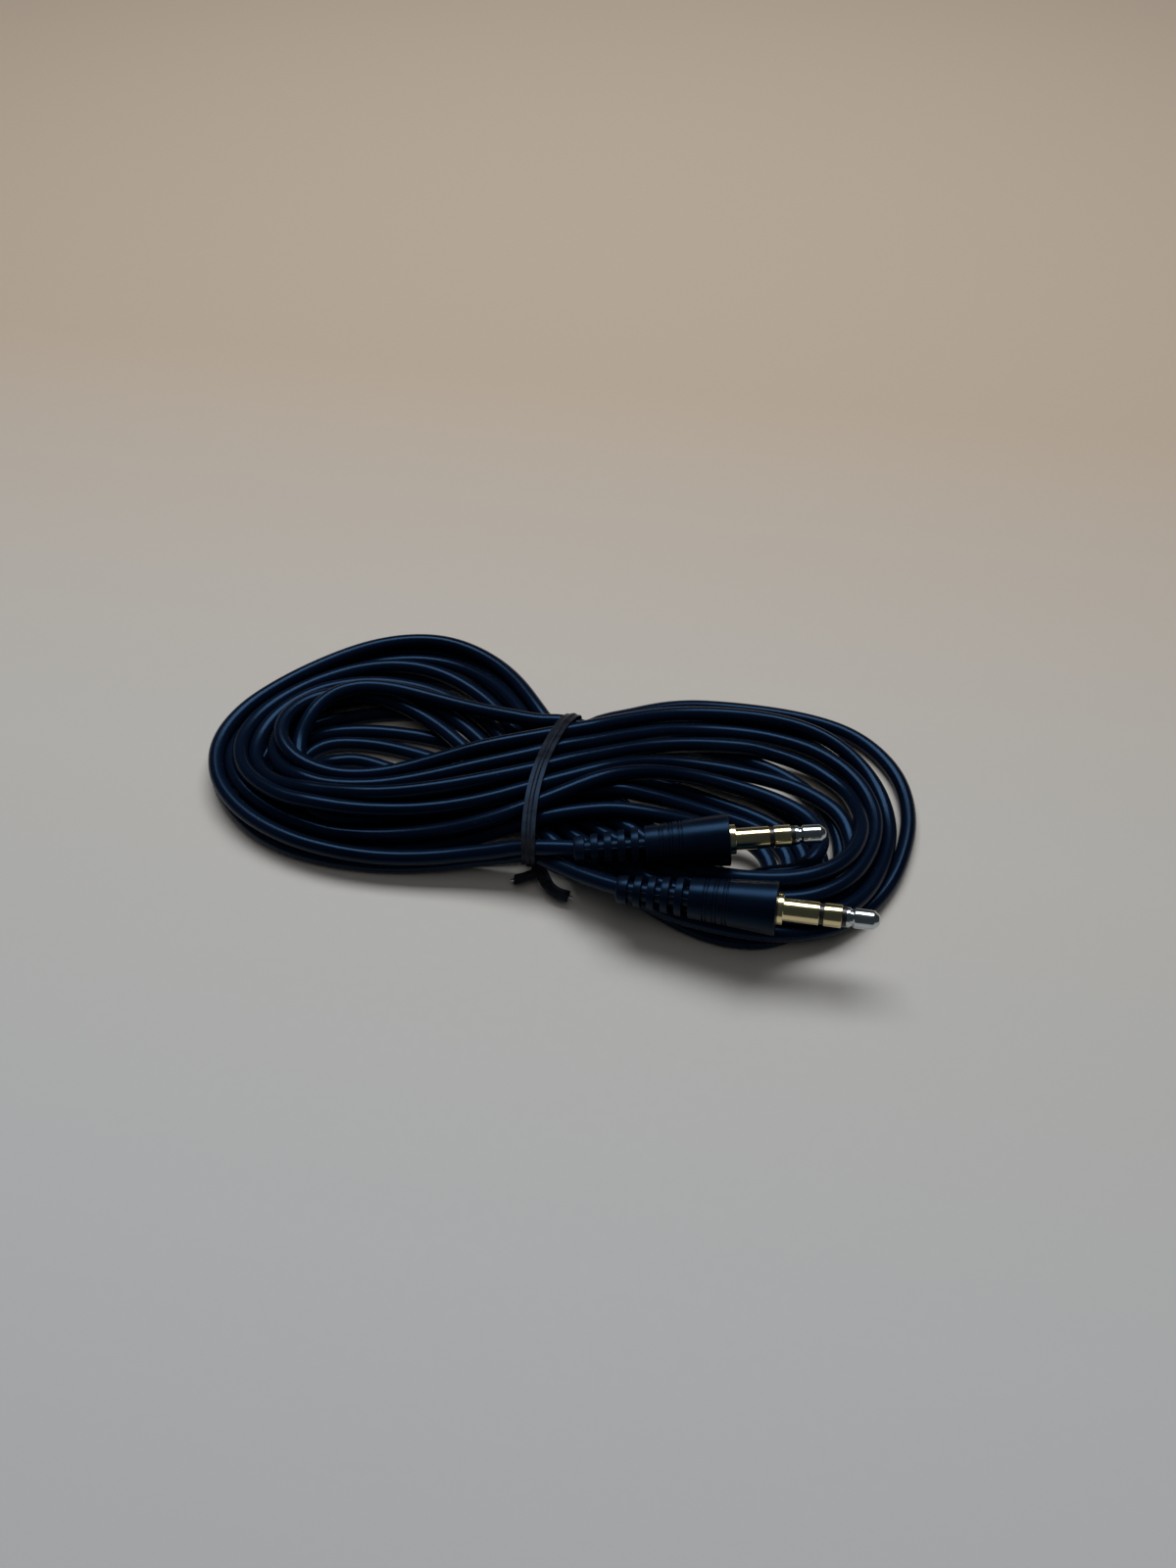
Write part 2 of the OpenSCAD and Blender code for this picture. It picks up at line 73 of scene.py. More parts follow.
class CordSettings(bpy.types.PropertyGroup):
    diameter: length("Cord diameter", "Outer diameter of the jacket", 2.6)
    sides: IntProperty(name="Sides", description="Faces round the cord", default=14, min=6, max=32)
    jacket: colour("Jacket", "Colour of the cord's soft plastic", (0.0013, 0.0034, 0.0095))
    gloss: colour("Jacket gloss", "Tint of the light that the jacket throws back", (0.15, 0.46, 1.0))
    roughness: share("Jacket roughness", "How far the jacket spreads its highlight", 0.24)


class BootSettings(bpy.types.PropertyGroup):
    length: length("Boot length", "From the cord's entry to the front face", 24)
    rear: length("Rear diameter", "Diameter where the cord goes in", 4.2)
    front: length("Front diameter", "Diameter at the front face", 8.2)
    slots: IntProperty(name="Slots", description="Strain relief slots across the boot", default=5, min=1, max=8)
    slot_pitch: length("Slot pitch", "From one slot to the next", 2.1)
    slot_width: length("Slot width", "Width of one slot", 0.95)
    plastic: colour("Boot", "Colour of the moulded boot", (0.0010, 0.0024, 0.0066))
    roughness: share("Boot roughness", "How far the boot spreads its highlight", 0.31)


class ContactSettings(bpy.types.PropertyGroup):
    gold: colour("Gold", "Colour of the sleeve and the ring", (0.80, 0.67, 0.37))
    silver: colour("Tip", "Colour of the tip's plating", (0.58, 0.62, 0.63))
    collar: colour("Collars", "Colour of the insulating collars", (0.006, 0.006, 0.007))
    roughness: share("Contact roughness", "How far the plating spreads its highlight", 0.13)


class TieSettings(bpy.types.PropertyGroup):
    width: length("Ribbon width", "Width of the flat ribbon", 2.2)
    web: length("Web thickness", "Thickness of the ribbon beside its wire", 0.2)
    core: length("Core thickness", "Thickness of the ribbon over its wire", 0.62)
    film: colour("Ribbon", "Colour of the ribbon's film", (0.010, 0.011, 0.014))
    roughness: share("Ribbon roughness", "How far the ribbon spreads its highlight", 0.24)


class StageSettings(bpy.types.PropertyGroup):
    surface: colour("Surface", "Colour of the surface near the hank", (0.45, 0.43, 0.405))
    # Painted shade and painted light: the surface is painted darker and warmer behind the hank, and paler and more
    # neutral in front of it.
    surface_far_painted_shade: colour("Surface behind", "Colour of the surface behind the hank", (0.42, 0.335, 0.26))
    surface_near_painted_light: colour("Surface in front", "Colour of the surface in front of the hank", (0.46, 0.455, 0.455))


# ---- the cord's route, as in the part's source

TURNS = 6
ROUND = 2 * TURNS + 0.5
LOOP_RINGS = 24
HALF_RINGS = LOOP_RINGS // 2
REACH = 60 * MM
HALF = 25.8 * MM
CORD_D = 2.6 * MM
CORD_R = CORD_D / 2
END_STEP = CORD_D + 0.62 * MM
SIDE_STEP = 2.23 * MM
WAIST_STEP = CORD_D + 1.6 * MM
LAYER_LIFT = CORD_D + 0.65 * MM
WAIST_RISE = 1.2 * MM
FIRST_Z = CORD_R - 0.1 * CORD_D
WAIST_SHARE = 0.13
WAIST_POWER = 0.5
CLIMB_IN, CLIMB_OUT = 0.3, 0.92
FOLD_SPARE = 0.6
FOLD_BLEND = (-0.56, -0.4)
FOLD_CLIMB = (-1, -0.7)
RISE_FROM, RISE_TO = 2 * MM, 14 * MM
# Turns from the hank's ends over which the hand-laid lay sets in
LAID_BY = 0.03
SEAT = FIRST_Z + LAYER_LIFT + CORD_R + 0.8 * MM
CORD_HOLD = 12.3 * MM
STRAIGHT = 2.4 * MM
BOOT_LEN, BOOT_REAR, BOOT_FRONT = 24 * MM, 4.2 * MM, 8.2 * MM
NOSE_UP = asin((BOOT_FRONT - BOOT_REAR) / 2 / BOOT_LEN)
REAR = {"upper": (4.1, -14.1), "lower": (11.9, -20.2)}
HEADING = {"upper": radians(11.2), "lower": radians(-1.8)}
LEAD_VIA = {
    "upper": [(-7, -14.4, 4.1), (-2, -14, 3.3)],
    "lower": [(-7, -15.6, 1), (-2, -17, 1.1), (3, -18.8, 1.4)],
}


def mix(a, b, t):
    return a + (b - a) * t


def smooth(a, b, v):
    t = np.clip((v - a) / (b - a), 0, 1)
    return t * t * (3 - 2 * t)


def loop_point(angle, slot):
    """A point of a loop on the ground plan. Slot 0 is outermost on the left and innermost on the right."""
    c, s = cos(angle), sin(angle)
    right = smooth(-1, 1, c)
    x_half = REACH - mix(slot, TURNS - slot, right) * END_STEP
    offset = WAIST_STEP * (slot - TURNS / 2)
    y_half = HALF - mix(slot, TURNS - slot, right) * SIDE_STEP - WAIST_SHARE * mix(-1, 1, right) * offset
    return np.array([x_half * c, y_half * sin(2 * angle) + offset * s * abs(s) ** WAIST_POWER])


def loop_height(angle, layer):
    over = 2 * LAYER_LIFT * (1 - smooth(CLIMB_IN, CLIMB_OUT, abs(cos(angle)))) if sin(angle) > 1e-6 else 0
    return FIRST_Z + layer * LAYER_LIFT + over


def lifted(p, z):
    return np.array([p[0], p[1], z + WAIST_RISE * (1 - smooth(RISE_FROM, RISE_TO, abs(p[0])))])


def hank_points(rings=LOOP_RINGS):
    """The hank's middle line, in to the fold and back over itself, with how far round and which layer each point is."""
    def angle(i):
        return pi / 2 + tau * i / rings

    def wound(i, layer):
        place = lifted(loop_point(angle(i), i / rings), loop_height(angle(i), layer))
        return (*place, ROUND - i / rings if layer else i / rings, layer)

    turns = range(rings // LOOP_RINGS, TURNS * rings + 1)
    fold = []
    for i in range(1, rings // 2):
        a = angle(TURNS * rings + i)
        way_out = loop_point(a, min(TURNS + i / rings, TURNS + FOLD_SPARE))
        share = 2 * i / rings
        if sin(a) > -1e-6:
            place = lifted(way_out, loop_height(a, 0))
        else:
            t = smooth(*FOLD_BLEND, cos(a))
            climb = smooth(*FOLD_CLIMB, cos(a))
            place = lifted(mix(way_out, loop_point(-a, TURNS), t), mix(FIRST_Z, loop_height(-a, 1), climb))
        fold.append((*place, TURNS + i / rings, share))
    return [wound(i, 0) for i in turns] + fold + [wound(i, 1) for i in turns[::-1]]


def plug_axis(side):
    h = HEADING[side]
    return np.array([cos(NOSE_UP) * cos(h), cos(NOSE_UP) * sin(h), sin(NOSE_UP)])


def plug_rear(side):
    x, y = REAR[side]
    return np.array([x * MM, y * MM, SEAT + BOOT_REAR / 2])


def lead_points(side, end, before):
    """From a hank's end to where the boot holds the cord."""
    axis, rear = plug_axis(side), plug_rear(side)
    away = (end - before)[:3] * (1, 1, 0)
    start = end[:3] + CORD_D * away / np.linalg.norm(away)
    via = [np.array([x * MM, y * MM, SEAT + z * MM]) for x, y, z in LEAD_VIA[side]]
    line = [start, *via, rear - STRAIGHT * axis, rear - STRAIGHT / 2 * axis, rear,
            rear + CORD_HOLD / 2 * axis, rear + CORD_HOLD * axis]
    over = end[4]
    return [(*line[0], abs(over * ROUND - LAID_BY), over)] + [(*p, over * ROUND, over) for p in line[1:]]


def whole_route(rings):
    """The whole cord, from inside the upper boot to inside the lower one."""
    body = np.array(hank_points(rings))
    upper = lead_points("upper", body[-1], body[-2])
    lower = lead_points("lower", body[0], body[1])
    return np.array([*upper[::-1], *body[::-1], *lower])


# ---- how the cord settles

def catmull(points, per):
    """Points of a smooth curve through the given ones, with `per` steps from one to the next."""
    p = np.vstack([2 * points[0] - points[1], points, 2 * points[-1] - points[-2]])
    t = (np.arange(per) / per)[None, :, None]
    a, b, c, d = (p[i:len(p) - 3 + i, None, :] for i in range(4))
    curve = 0.5 * (2 * b + (c - a) * t + (2 * a - 5 * b + 4 * c - d) * t ** 2 + (3 * b - a - 3 * c + d) * t ** 3)
    return np.vstack([curve.reshape(-1, p.shape[1]), points[-1]])


def steps(points):
    """How far each point is from the one before it."""
    return np.linalg.norm(np.diff(points, axis=0), axis=1)


def way_along(points):
    return np.concatenate([[0], np.cumsum(steps(points))])


def units(rows):
    return rows / np.linalg.norm(rows, axis=1)[:, None]


def evenly(points, step):
    """The same line with its points a step apart."""
    along = way_along(points[:, :3])
    count = int(ceil(along[-1] / step))
    at = np.linspace(0, along[-1], count + 1)
    return np.stack([np.interp(at, along, column) for column in points.T], axis=1)


def between_segments(x, i, j):
    """Where segments i and j come closest: their shares s and t, the gap's direction and its width."""
    p, d1 = x[i], x[i + 1] - x[i]
    q, d2 = x[j], x[j + 1] - x[j]
    r = p - q
    a, e, b = (d1 * d1).sum(1), (d2 * d2).sum(1), (d1 * d2).sum(1)
    c, f = (d1 * r).sum(1), (d2 * r).sum(1)
    denom = a * e - b * b
    s = np.where(denom > 1e-3 * a * e, np.clip((b * f - c * e) / np.maximum(denom, 1e-30), 0, 1), 0.5)
    t = np.clip((b * s + f) / e, 0, 1)
    s = np.clip((b * t - c) / a, 0, 1)
    gap = r + s[:, None] * d1 - t[:, None] * d2
    wide = np.linalg.norm(gap, axis=1)
    return s, t, gap / np.maximum(wide, 1e-9)[:, None], wide


def near_pairs(x, reach, apart):
    """Pairs of segments whose middles are within reach and that are not neighbours on the cord."""
    m = 0.5 * (x[1:] + x[:-1])
    i, j = np.triu_indices(len(m), apart)
    close = ((m[i] - m[j]) ** 2).sum(1) < reach ** 2
    return i[close], j[close]


SPACING = 2.5 * MM
# Segments this many apart along the cord can touch. Near pairs are listed anew every few rounds.
APART = 4
PAIR_ROUNDS, PAIR_SPARE = 12, 1.5 * MM
# Points at either end of the cord that its own plug doesn't push
PLUG_POINTS = 12
BENDS = ((1, 0.2), (3, 0.05))
BEND_SPAN = 3
LEAST_BEND = 7.5 * MM
OPEN_UP = 0.25
SLACK = 0.99
LINK_PASSES = 3
GRIP = 0.02
SINK, LAST_SINK, LAST_FROM = 0.012 * MM, 0.002 * MM, 0.9
PIN_R, PIN_REACH, REAR_SPARE = 1.8 * MM, 15 * MM, 0.5 * MM
TIE_X, TIE_TURN_Y, TIE_CURVE = -4.0 * MM, -4.0 * MM, 10.0
TIE_Y = -0.8 * MM
TIE_HALF_WIDTH = 14.7 * MM
TIE_HEIGHT = (15.6 * MM, 12.4 * MM)
TIE_FLOOR = 0.7 * MM
TIE_REACH = 3.0 * MM
TIE_POWER = 2.6
TIE_CLOSED = 0.6


def tie_line(y):
    """Where along the hank the tie lies: its ends bend to the right, the far one most."""
    return TIE_X + TIE_CURVE * (y - TIE_TURN_Y) ** 2


def hold_waist(x, height):
    """The tie holds the cord in a flat oval: it pushes in what stands out of it."""
    at = np.abs(x[:, 0] - tie_line(x[:, 1])) < TIE_REACH
    a, b = TIE_HALF_WIDTH - CORD_R, height / 2 - CORD_R
    dy, dz = x[at, 1] - TIE_Y, x[at, 2] - TIE_FLOOR - height / 2
    out = (np.abs(dy / a) ** TIE_POWER + np.abs(dz / b) ** TIE_POWER) ** (1 / TIE_POWER)
    k = 1 / np.maximum(out, 1)
    x[at, 1] = TIE_Y + dy * k
    x[at, 2] = TIE_FLOOR + height / 2 + dz * k


def clear_of_plugs(x, free):
    """Loops that lie under or beside a plug keep clear of its boot and its pin."""
    for side in SIDES:
        axis, rear = plug_axis(side), plug_rear(side)
        along = (x - rear) @ axis
        cone = mix(BOOT_REAR, BOOT_FRONT, np.clip(along / BOOT_LEN, 0, 1)) / 2
        radius = np.where(along < BOOT_LEN, cone, PIN_R)
        inside = (along > -REAR_SPARE) & (along < BOOT_LEN + PIN_REACH) & free
        off = x - rear - along[:, None] * axis
        wide = np.linalg.norm(off, axis=1)
        push = np.where(inside, np.maximum(radius + CORD_R - wide, 0), 0)
        x += off / np.maximum(wide, 1e-9)[:, None] * push[:, None]


def settle(x, held, rounds=1400):
    """Lets the wound cord sink on the surface and on itself while the tie closes round its waist."""
    x = x.copy()
    still, laid = x[held].copy(), x[:, :2].copy()
    rest = SLACK * steps(x).mean()
    free = np.ones(len(x), bool)
    free[:PLUG_POINTS] = free[-PLUG_POINTS:] = False
    halves = [np.arange(k, len(x) - 1, 2) for k in (0, 1)]
    span = BEND_SPAN
    least_chord = 2 * LEAST_BEND * sin(span * rest / LEAST_BEND)
    for n in range(rounds):
        done = n / rounds
        if n % PAIR_ROUNDS == 0:
            i, j = near_pairs(x, CORD_D + rest + PAIR_SPARE, APART)
        x[:, 2] -= SINK if done < LAST_FROM else LAST_SINK
        x[:, :2] += GRIP * (laid - x[:, :2])
        for k, weight in BENDS:
            bend = weight * (0.5 * (x[2 * k:] + x[:-2 * k]) - x[k:-k])
            x[k:-k] += bend
            x[2 * k:] -= bend / 2
            x[:-2 * k] -= bend / 2
        chord = x[2 * span:] - x[:-2 * span]
        wide = np.linalg.norm(chord, axis=1)
        open_up = OPEN_UP * (np.maximum(least_chord - wide, 0) / wide)[:, None] * chord
        x[2 * span:] += open_up
        x[:-2 * span] -= open_up
        for _ in range(LINK_PASSES):
            for half in halves:
                d = x[half + 1] - x[half]
                wide = np.linalg.norm(d, axis=1)
                shift = 0.5 * ((wide - rest) / wide)[:, None] * d
                x[half] += shift
                x[half + 1] -= shift
        s, t, way, wide = between_segments(x, i, j)
        hit = wide < CORD_D
        a, b, s, t, way = i[hit], j[hit], s[hit], t[hit], way[hit]
        push = ((CORD_D - wide[hit]) / ((1 - s) ** 2 + s ** 2 + (1 - t) ** 2 + t ** 2))[:, None] * way
        total, count = np.zeros_like(x), np.zeros(len(x))
        for index, weight in ((a, 1 - s), (a + 1, s), (b, t - 1), (b + 1, -t)):
            np.add.at(total, index, weight[:, None] * push)
            np.add.at(count, index, np.abs(weight))
        x += total / np.maximum(count, 1)[:, None]
        clear_of_plugs(x, free)
        hold_waist(x, mix(*TIE_HEIGHT, smooth(0, TIE_CLOSED, done)))
        x[:, 2] = np.maximum(x[:, 2], CORD_R)
        x[held] = still
    return x


# The loops' drifts to the sides: width in mm, waves in a turn, phase; then the phase added for X and Y
WANDER = ((0.9, 0.71, 0.0), (0.5, 1.63, 1.1))
WANDER_PHASES = (0.0, 1.9)
WANDER_FROM, WANDER_TO = 0.05, 0.3
UNEVEN, UNEVEN_WAVES = 0.3 * MM, 0.43
LOBE_FROM, LOBE_TO = 8 * MM, 30 * MM
# Middle lines in mm of the outermost loop of each lobe and of the innermost ones of its upper and lower layer.
# The outer ones run from the waist along the front, round the end and back along the far side, all in 12 steps.
LEFT_OUTER = ((-3, -12.2), (-14, -15.6), (-27, -17.2), (-40, -16.4), (-50.8, -12.6), (-58.5, -6.6), (-62, 1.2),
              (-60.6, 9.8), (-53.5, 19.6), (-43, 30), (-29, 35.2), (-14.5, 28.4), (-3, 12.4))
LEFT_UPPER = ((-3, 12), (-10, 8.5), (-17.5, 3.6), (-26, -2), (-36, -5.1), (-45, -4.3), (-50, 1), (-49.8, 8.5),
              (-45, 14.8), (-37, 16.5), (-26, 12), (-14, 2), (-3, -11.6))
LEFT_LOWER = ((-3, 12), (-9, 7), (-16, 1), (-24, -6), (-32, -9.8), (-40, -9.4), (-45.6, -4.4), (-46, 1.2),
              (-40.5, 3.6), (-32, 2.6), (-23, 0.5), (-12, -3.5), (-3, -11.6))
RIGHT_OUTER = ((-3, -11.6), (12, -18.3), (24, -21.4), (36, -21.4), (45.3, -18.8), (50.8, -12.5), (52.6, -4),
               (56, 5.5), (54.3, 15.8), (45.5, 25.4), (31.5, 27.4), (15, 24.8), (-3, 12))
RIGHT_UPPER = ((-3, 12.4), (9, 4), (17, -5), (25, -10.5), (33, -12.5), (40, -10), (43.6, -5), (43.5, 0),
               (39, 3), (31.5, 4.4), (22.5, 4.4), (11, 1.3), (-3, -12.2))
RIGHT_LOWER = ((-3, 12.4), (6.5, 2), (12, -8.3), (18, -15.5), (25.5, -18.2), (32.5, -16.8), (36.5, -11.6),
               (35.3, -6.4), (30, -3.7), (23.5, -3.7), (17, -5.2), (8, -7.5), (-3, -12.2))
# Where the fold's last steps go, by step, and the steps over which they take over
FOLD_BACK = {8: (-45, 14.8), 9: (-37, 17), 10: (-26, 15.6), 11: (-14, 13.6), 12: (-3, 12)}
FOLD_BACK_OVER = (7, 8.5)
# For the left and the right lobe: the powers by which the turns of the lower and the upper layer crowd inwards, and
# how far out the outermost turn of the lower layer gets.
TURN_CROWD = ((1.3, 1.0), (1.5, 0.85))
LOWER_OUT = (1.0, 0.78)
TURN_LEAD = 0.75
LOBE_STEPS = 3


def station(turn, layer, right):
    """Where a lobe's tables put a point that is `turn` turns in. Their steps are a twenty-fourth of a turn."""
    outer, upper, lower = (RIGHT_OUTER, RIGHT_UPPER, RIGHT_LOWER) if right else (LEFT_OUTER, LEFT_UPPER, LEFT_LOWER)
    phase = (turn % 1) * LOOP_RINGS - (HALF_RINGS if right else 0)
    out = turn / TURNS if right else 1 - turn / TURNS
    lobe = smooth(0, LOBE_STEPS, min(phase, HALF_RINGS - phase))
    out = mix(out, (out - TURN_LEAD / TURNS) / (1 - 1 / TURNS), lobe)
    crowd, farthest = mix(*TURN_CROWD[right], layer), mix(LOWER_OUT[right], 1, layer)
    out = mix(out, farthest * max(out, 0) ** crowd + min(out, 0), lobe)
    k = np.arange(HALF_RINGS + 1)
    place = []
    for axis in (0, 1):
        rows = [np.interp(phase, k, [p[axis] for p in table]) for table in (outer, upper, lower)]
        place.append(mix(mix(rows[2], rows[1], layer), rows[0], out))
    return np.array(place)


def laid_out(x):
    """Lays the loops as hands do: lobes that are not quite alike, and no two turns the same."""
    wound, layer = x[:, 3], x[:, 4]
    u = np.linspace(0, 2 * TURNS + 1, len(x))
    lobe = smooth(LOBE_FROM, LOBE_TO, np.abs(x[:, 0]))
    depth = np.minimum(wound, ROUND - wound)
    new = x[:, :3].copy()
    for i in range(len(x)):
        if TURNS < wound[i] < TURNS + 0.5:
            k = (wound[i] - TURNS) * LOOP_RINGS
            back = [np.interp(k, list(FOLD_BACK), [p[axis] for p in FOLD_BACK.values()]) for axis in (0, 1)]
            target = mix(station(wound[i], layer[i], False), np.array(back), smooth(*FOLD_BACK_OVER, k))
        else:
            target = station(depth[i], layer[i], depth[i] % 1 >= 0.5)
        new[i, :2] = mix(x[i, :2], target * MM, smooth(0, LAID_BY, depth[i]))
    for k, phase in enumerate(WANDER_PHASES):
        drift = sum(a * np.sin(tau * f * u + p + phase) for a, f, p in WANDER)
        new[:, k] += drift * MM * lobe * smooth(WANDER_FROM, WANDER_TO, depth)
    new[:, 2] += UNEVEN * (1 + np.sin(tau * UNEVEN_WAVES * u)) * lobe
    return new


def settled_route():
    start = evenly(catmull(whole_route(LOOP_RINGS * 2), 4), SPACING)
    x = evenly(laid_out(start), SPACING)
    inside = np.zeros(len(x), bool)
    hold = int(round((CORD_HOLD + STRAIGHT / 2) / SPACING))
    inside[:hold] = inside[-hold:] = True
    return settle(x, inside)


# ---- meshes

def link(obj):
    bpy.context.scene.collection.objects.link(obj)
    return obj


def plug_places(side):
    """A plug's own axes and rear end: X along the plug, Y level, Z upright."""
    axis = plug_axis(side)
    level = np.array([-sin(HEADING[side]), cos(HEADING[side]), 0])
    return plug_rear(side), axis, level, np.cross(axis, level)


def turned_mesh(profile, angles, closed, radius=None):
    """Vertices, faces and their lay (how far along, and the way round) of a shape turned about X, in mm."""
    points, faces, lay = [], [], []
    rings = []
    for x, r, outer in profile:
        if r == 0:
            rings.append([len(points)])
            points.append((x, 0, 0))
            lay.append((x, 0, 0))
            continue
        rings.append(list(range(len(points), len(points) + len(angles))))
        for a in angles:
            here = radius(x, r, a) if radius and outer else r
            points.append((x, here * cos(a), here * sin(a)))
            lay.append((x, cos(a), sin(a)))
    pairs = list(zip(rings, rings[1:])) + ([(rings[-1], rings[0])] if closed else [])
    count = len(angles)
    for one, two in pairs:
        for k in range(count):
            n = (k + 1) % count
            if len(one) == 1:
                faces.append((one[0], two[n], two[k]))
            elif len(two) == 1:
                faces.append((one[k], one[n], two[0]))
            else:
                faces.append((one[k], one[n], two[n], two[k]))
    return points, faces, lay


def build(name, points, faces, lay, material, sharp=40):
    mesh = bpy.data.meshes.new(name)
    mesh.from_pydata([tuple(p) for p in points], [], faces)
    attribute = mesh.attributes.new("lay", "FLOAT_VECTOR", "POINT")
    attribute.data.foreach_set("vector", np.array(lay, float).ravel())
    tidy = bmesh.new()
    tidy.from_mesh(mesh)
    bmesh.ops.recalc_face_normals(tidy, faces=tidy.faces)
    tidy.to_mesh(mesh)
    tidy.free()
    mesh.shade_smooth()
    mesh.set_sharp_from_angle(angle=radians(sharp))
    mesh.materials.append(material)
    return link(bpy.data.objects.new(name, mesh))


def on_plug(side, points):
    rear, axis, level, up = plug_places(side)
    p = np.array(points, float) * MM
    return rear + p[:, :1] * axis + p[:, 1:2] * level + p[:, 2:3] * up


def round_angles(count):
    return [tau * k / count for k in range(count)]


def smoothed(profile, parts):
    """A profile whose (x, r, bevel) corners are rounded by an arc of `parts` chamfers each."""
    out = []
    count = len(profile)
    for i, (x, r, bevel) in enumerate(profile):
        if not bevel or i in (0, count - 1):
            out.append((x, r, True))
            continue
        here = np.array([x, r])
        before, after = np.array(profile[i - 1][:2]) - here, np.array(profile[i + 1][:2]) - here
        a, b = (here + way / np.linalg.norm(way) * min(bevel, CHAMFER_SHARE * np.linalg.norm(way))
                for way in (before, after))
        for k in range(parts + 1):
            t = k / parts
            p = (1 - t) ** 2 * a + 2 * t * (1 - t) * here + t * t * b
            out.append((p[0], p[1], True))
    return out


# ---- materials

class Nodes:
    """A small helper that adds nodes to a material and links them."""

    def __init__(self, name):
        self.material = bpy.data.materials.new(name)
        self.material.use_nodes = True
        self.tree = self.material.node_tree
        self.shader = self.tree.nodes["Principled BSDF"]

    def add(self, kind, settings=None, **inputs):
        node = self.tree.nodes.new(kind)
        for key, value in (settings or {}).items():
            setattr(node, key, value)
        for key, value in inputs.items():
            self.put(node, key.replace("_", " "), value)
        return node

    def put(self, node, key, value):
        socket = node.inputs[key]
        if isinstance(value, bpy.types.NodeSocket):
            self.tree.links.new(value, socket)
        else:
            socket.default_value = value

    def math(self, operation, a, b=0.0, c=0.0):
        node = self.add("ShaderNodeMath", {"operation": operation})
        for k, value in enumerate((a, b, c)):
            self.put(node, k, value)
        return node.outputs[0]

    def place(self, attribute=None, scale=(1, 1, 1)):
        if attribute:
            source = self.add("ShaderNodeAttribute", {"attribute_name": attribute}).outputs["Vector"]
        else:
            source = self.add("ShaderNodeTexCoord").outputs["Object"]
        mapped = self.add("ShaderNodeMapping", Vector=source, Scale=scale)
        return mapped.outputs["Vector"]

    def noise(self, place, scale, detail=3.0, roughness=0.55, distortion=0.0):
        return self.add("ShaderNodeTexNoise", Vector=place, Scale=scale, Detail=detail, Roughness=roughness,
                        Distortion=distortion).outputs["Fac"]

    def between(self, value, low, high, from_low=0.3, from_high=0.7):
        node = self.add("ShaderNodeMapRange", Value=value)
        for key, number in (("From Min", from_low), ("From Max", from_high), ("To Min", low), ("To Max", high)):
            node.inputs[key].default_value = number
        return node.outputs["Result"]

    def blend(self, factor, a, b):
        node = self.add("ShaderNodeMix", {"data_type": "RGBA"})
        self.put(node, 0, factor)
        for k, value in ((6, a), (7, b)):
            self.put(node, k, value if isinstance(value, bpy.types.NodeSocket) else (*value, 1.0))
        return node.outputs[2]

    def bump(self, *layers):
        """Each layer is a height, its strength and its depth in mm."""
        normal = None
        for height, strength, depth in layers:
            node = self.add("ShaderNodeBump", Strength=strength, Distance=depth * MM, Height=height)
            if normal:
                self.tree.links.new(normal, node.inputs["Normal"])
            normal = node.outputs["Normal"]
        self.tree.links.new(normal, self.shader.inputs["Normal"])

    def shade(self, **values):
        for key, value in values.items():
            if isinstance(value, tuple) and len(value) == 3:
                value = (*value, 1.0)
            self.put(self.shader, key.replace("_", " "), value)
        return self.material


def shades(colour, low, high):
    return tuple(c * low for c in colour), tuple(min(1.0, c * high) for c in colour)


def jacket_material(cord):
    """Soft extruded plastic: faint streaks along the cord, slow waves in its gloss, and a little dust."""
    n = Nodes("cord jacket")
    streak = n.noise(n.place("lay", (30, 5, 5)), 1.6, 3.0)
    wave = n.noise(n.place(), 42.0, 2.0)
    dust = n.noise(n.place(), 2600.0, 2.0, 0.6)
    dark, pale = shades(tuple(cord.jacket), 0.7, 1.5)
    base = n.blend(n.between(wave, 0.0, 1.0), dark, pale)
    speck = n.between(dust, 0.0, 1.0, 0.74, 0.78)
    base = n.blend(speck, base, (0.05, 0.06, 0.07))
    n.bump((streak, 0.10, 0.05), (n.noise(n.place(), 900.0, 2.0), 0.05, 0.03))
    rough = n.between(n.math("ADD", n.math("MULTIPLY", wave, 0.6), n.math("MULTIPLY", streak, 0.4)),
                      cord.roughness - 0.05, cord.roughness + 0.06)
    return n.shade(Base_Color=base, Roughness=rough, Specular_IOR_Level=0.2, Specular_Tint=tuple(cord.gloss),
                   Coat_Weight=0.0)


def boot_material(boot, cord):
    """Moulded plastic: a fine spark-eroded grain, and a painted highlight that makes its edges a little brighter."""
    n = Nodes("boot plastic")
    wave = n.noise(n.place(), 90.0, 3.0)
    grain = n.noise(n.place(), 5200.0, 2.0, 0.6)
    edge = n.add("ShaderNodeNewGeometry").outputs["Pointiness"]
    # Painted highlight: the sharp outer edges are lightened unevenly towards a pale blue.
    painted_edge_highlight = n.math("MULTIPLY", n.between(edge, 0.0, 1.0, 0.52, 0.62), n.between(wave, 0.2, 1.0))
    dark, pale = shades(tuple(boot.plastic), 0.75, 1.4)
    base = n.blend(n.between(wave, 0.0, 1.0), dark, pale)
    base = n.blend(n.math("MULTIPLY", painted_edge_highlight, 0.5), base, (0.02, 0.028, 0.045))
    n.bump((grain, 0.12, 0.02), (wave, 0.08, 0.06))
    rough = n.between(wave, boot.roughness - 0.04, boot.roughness + 0.07)
    return n.shade(Base_Color=base, Roughness=rough, Specular_IOR_Level=0.2, Specular_Tint=tuple(cord.gloss))


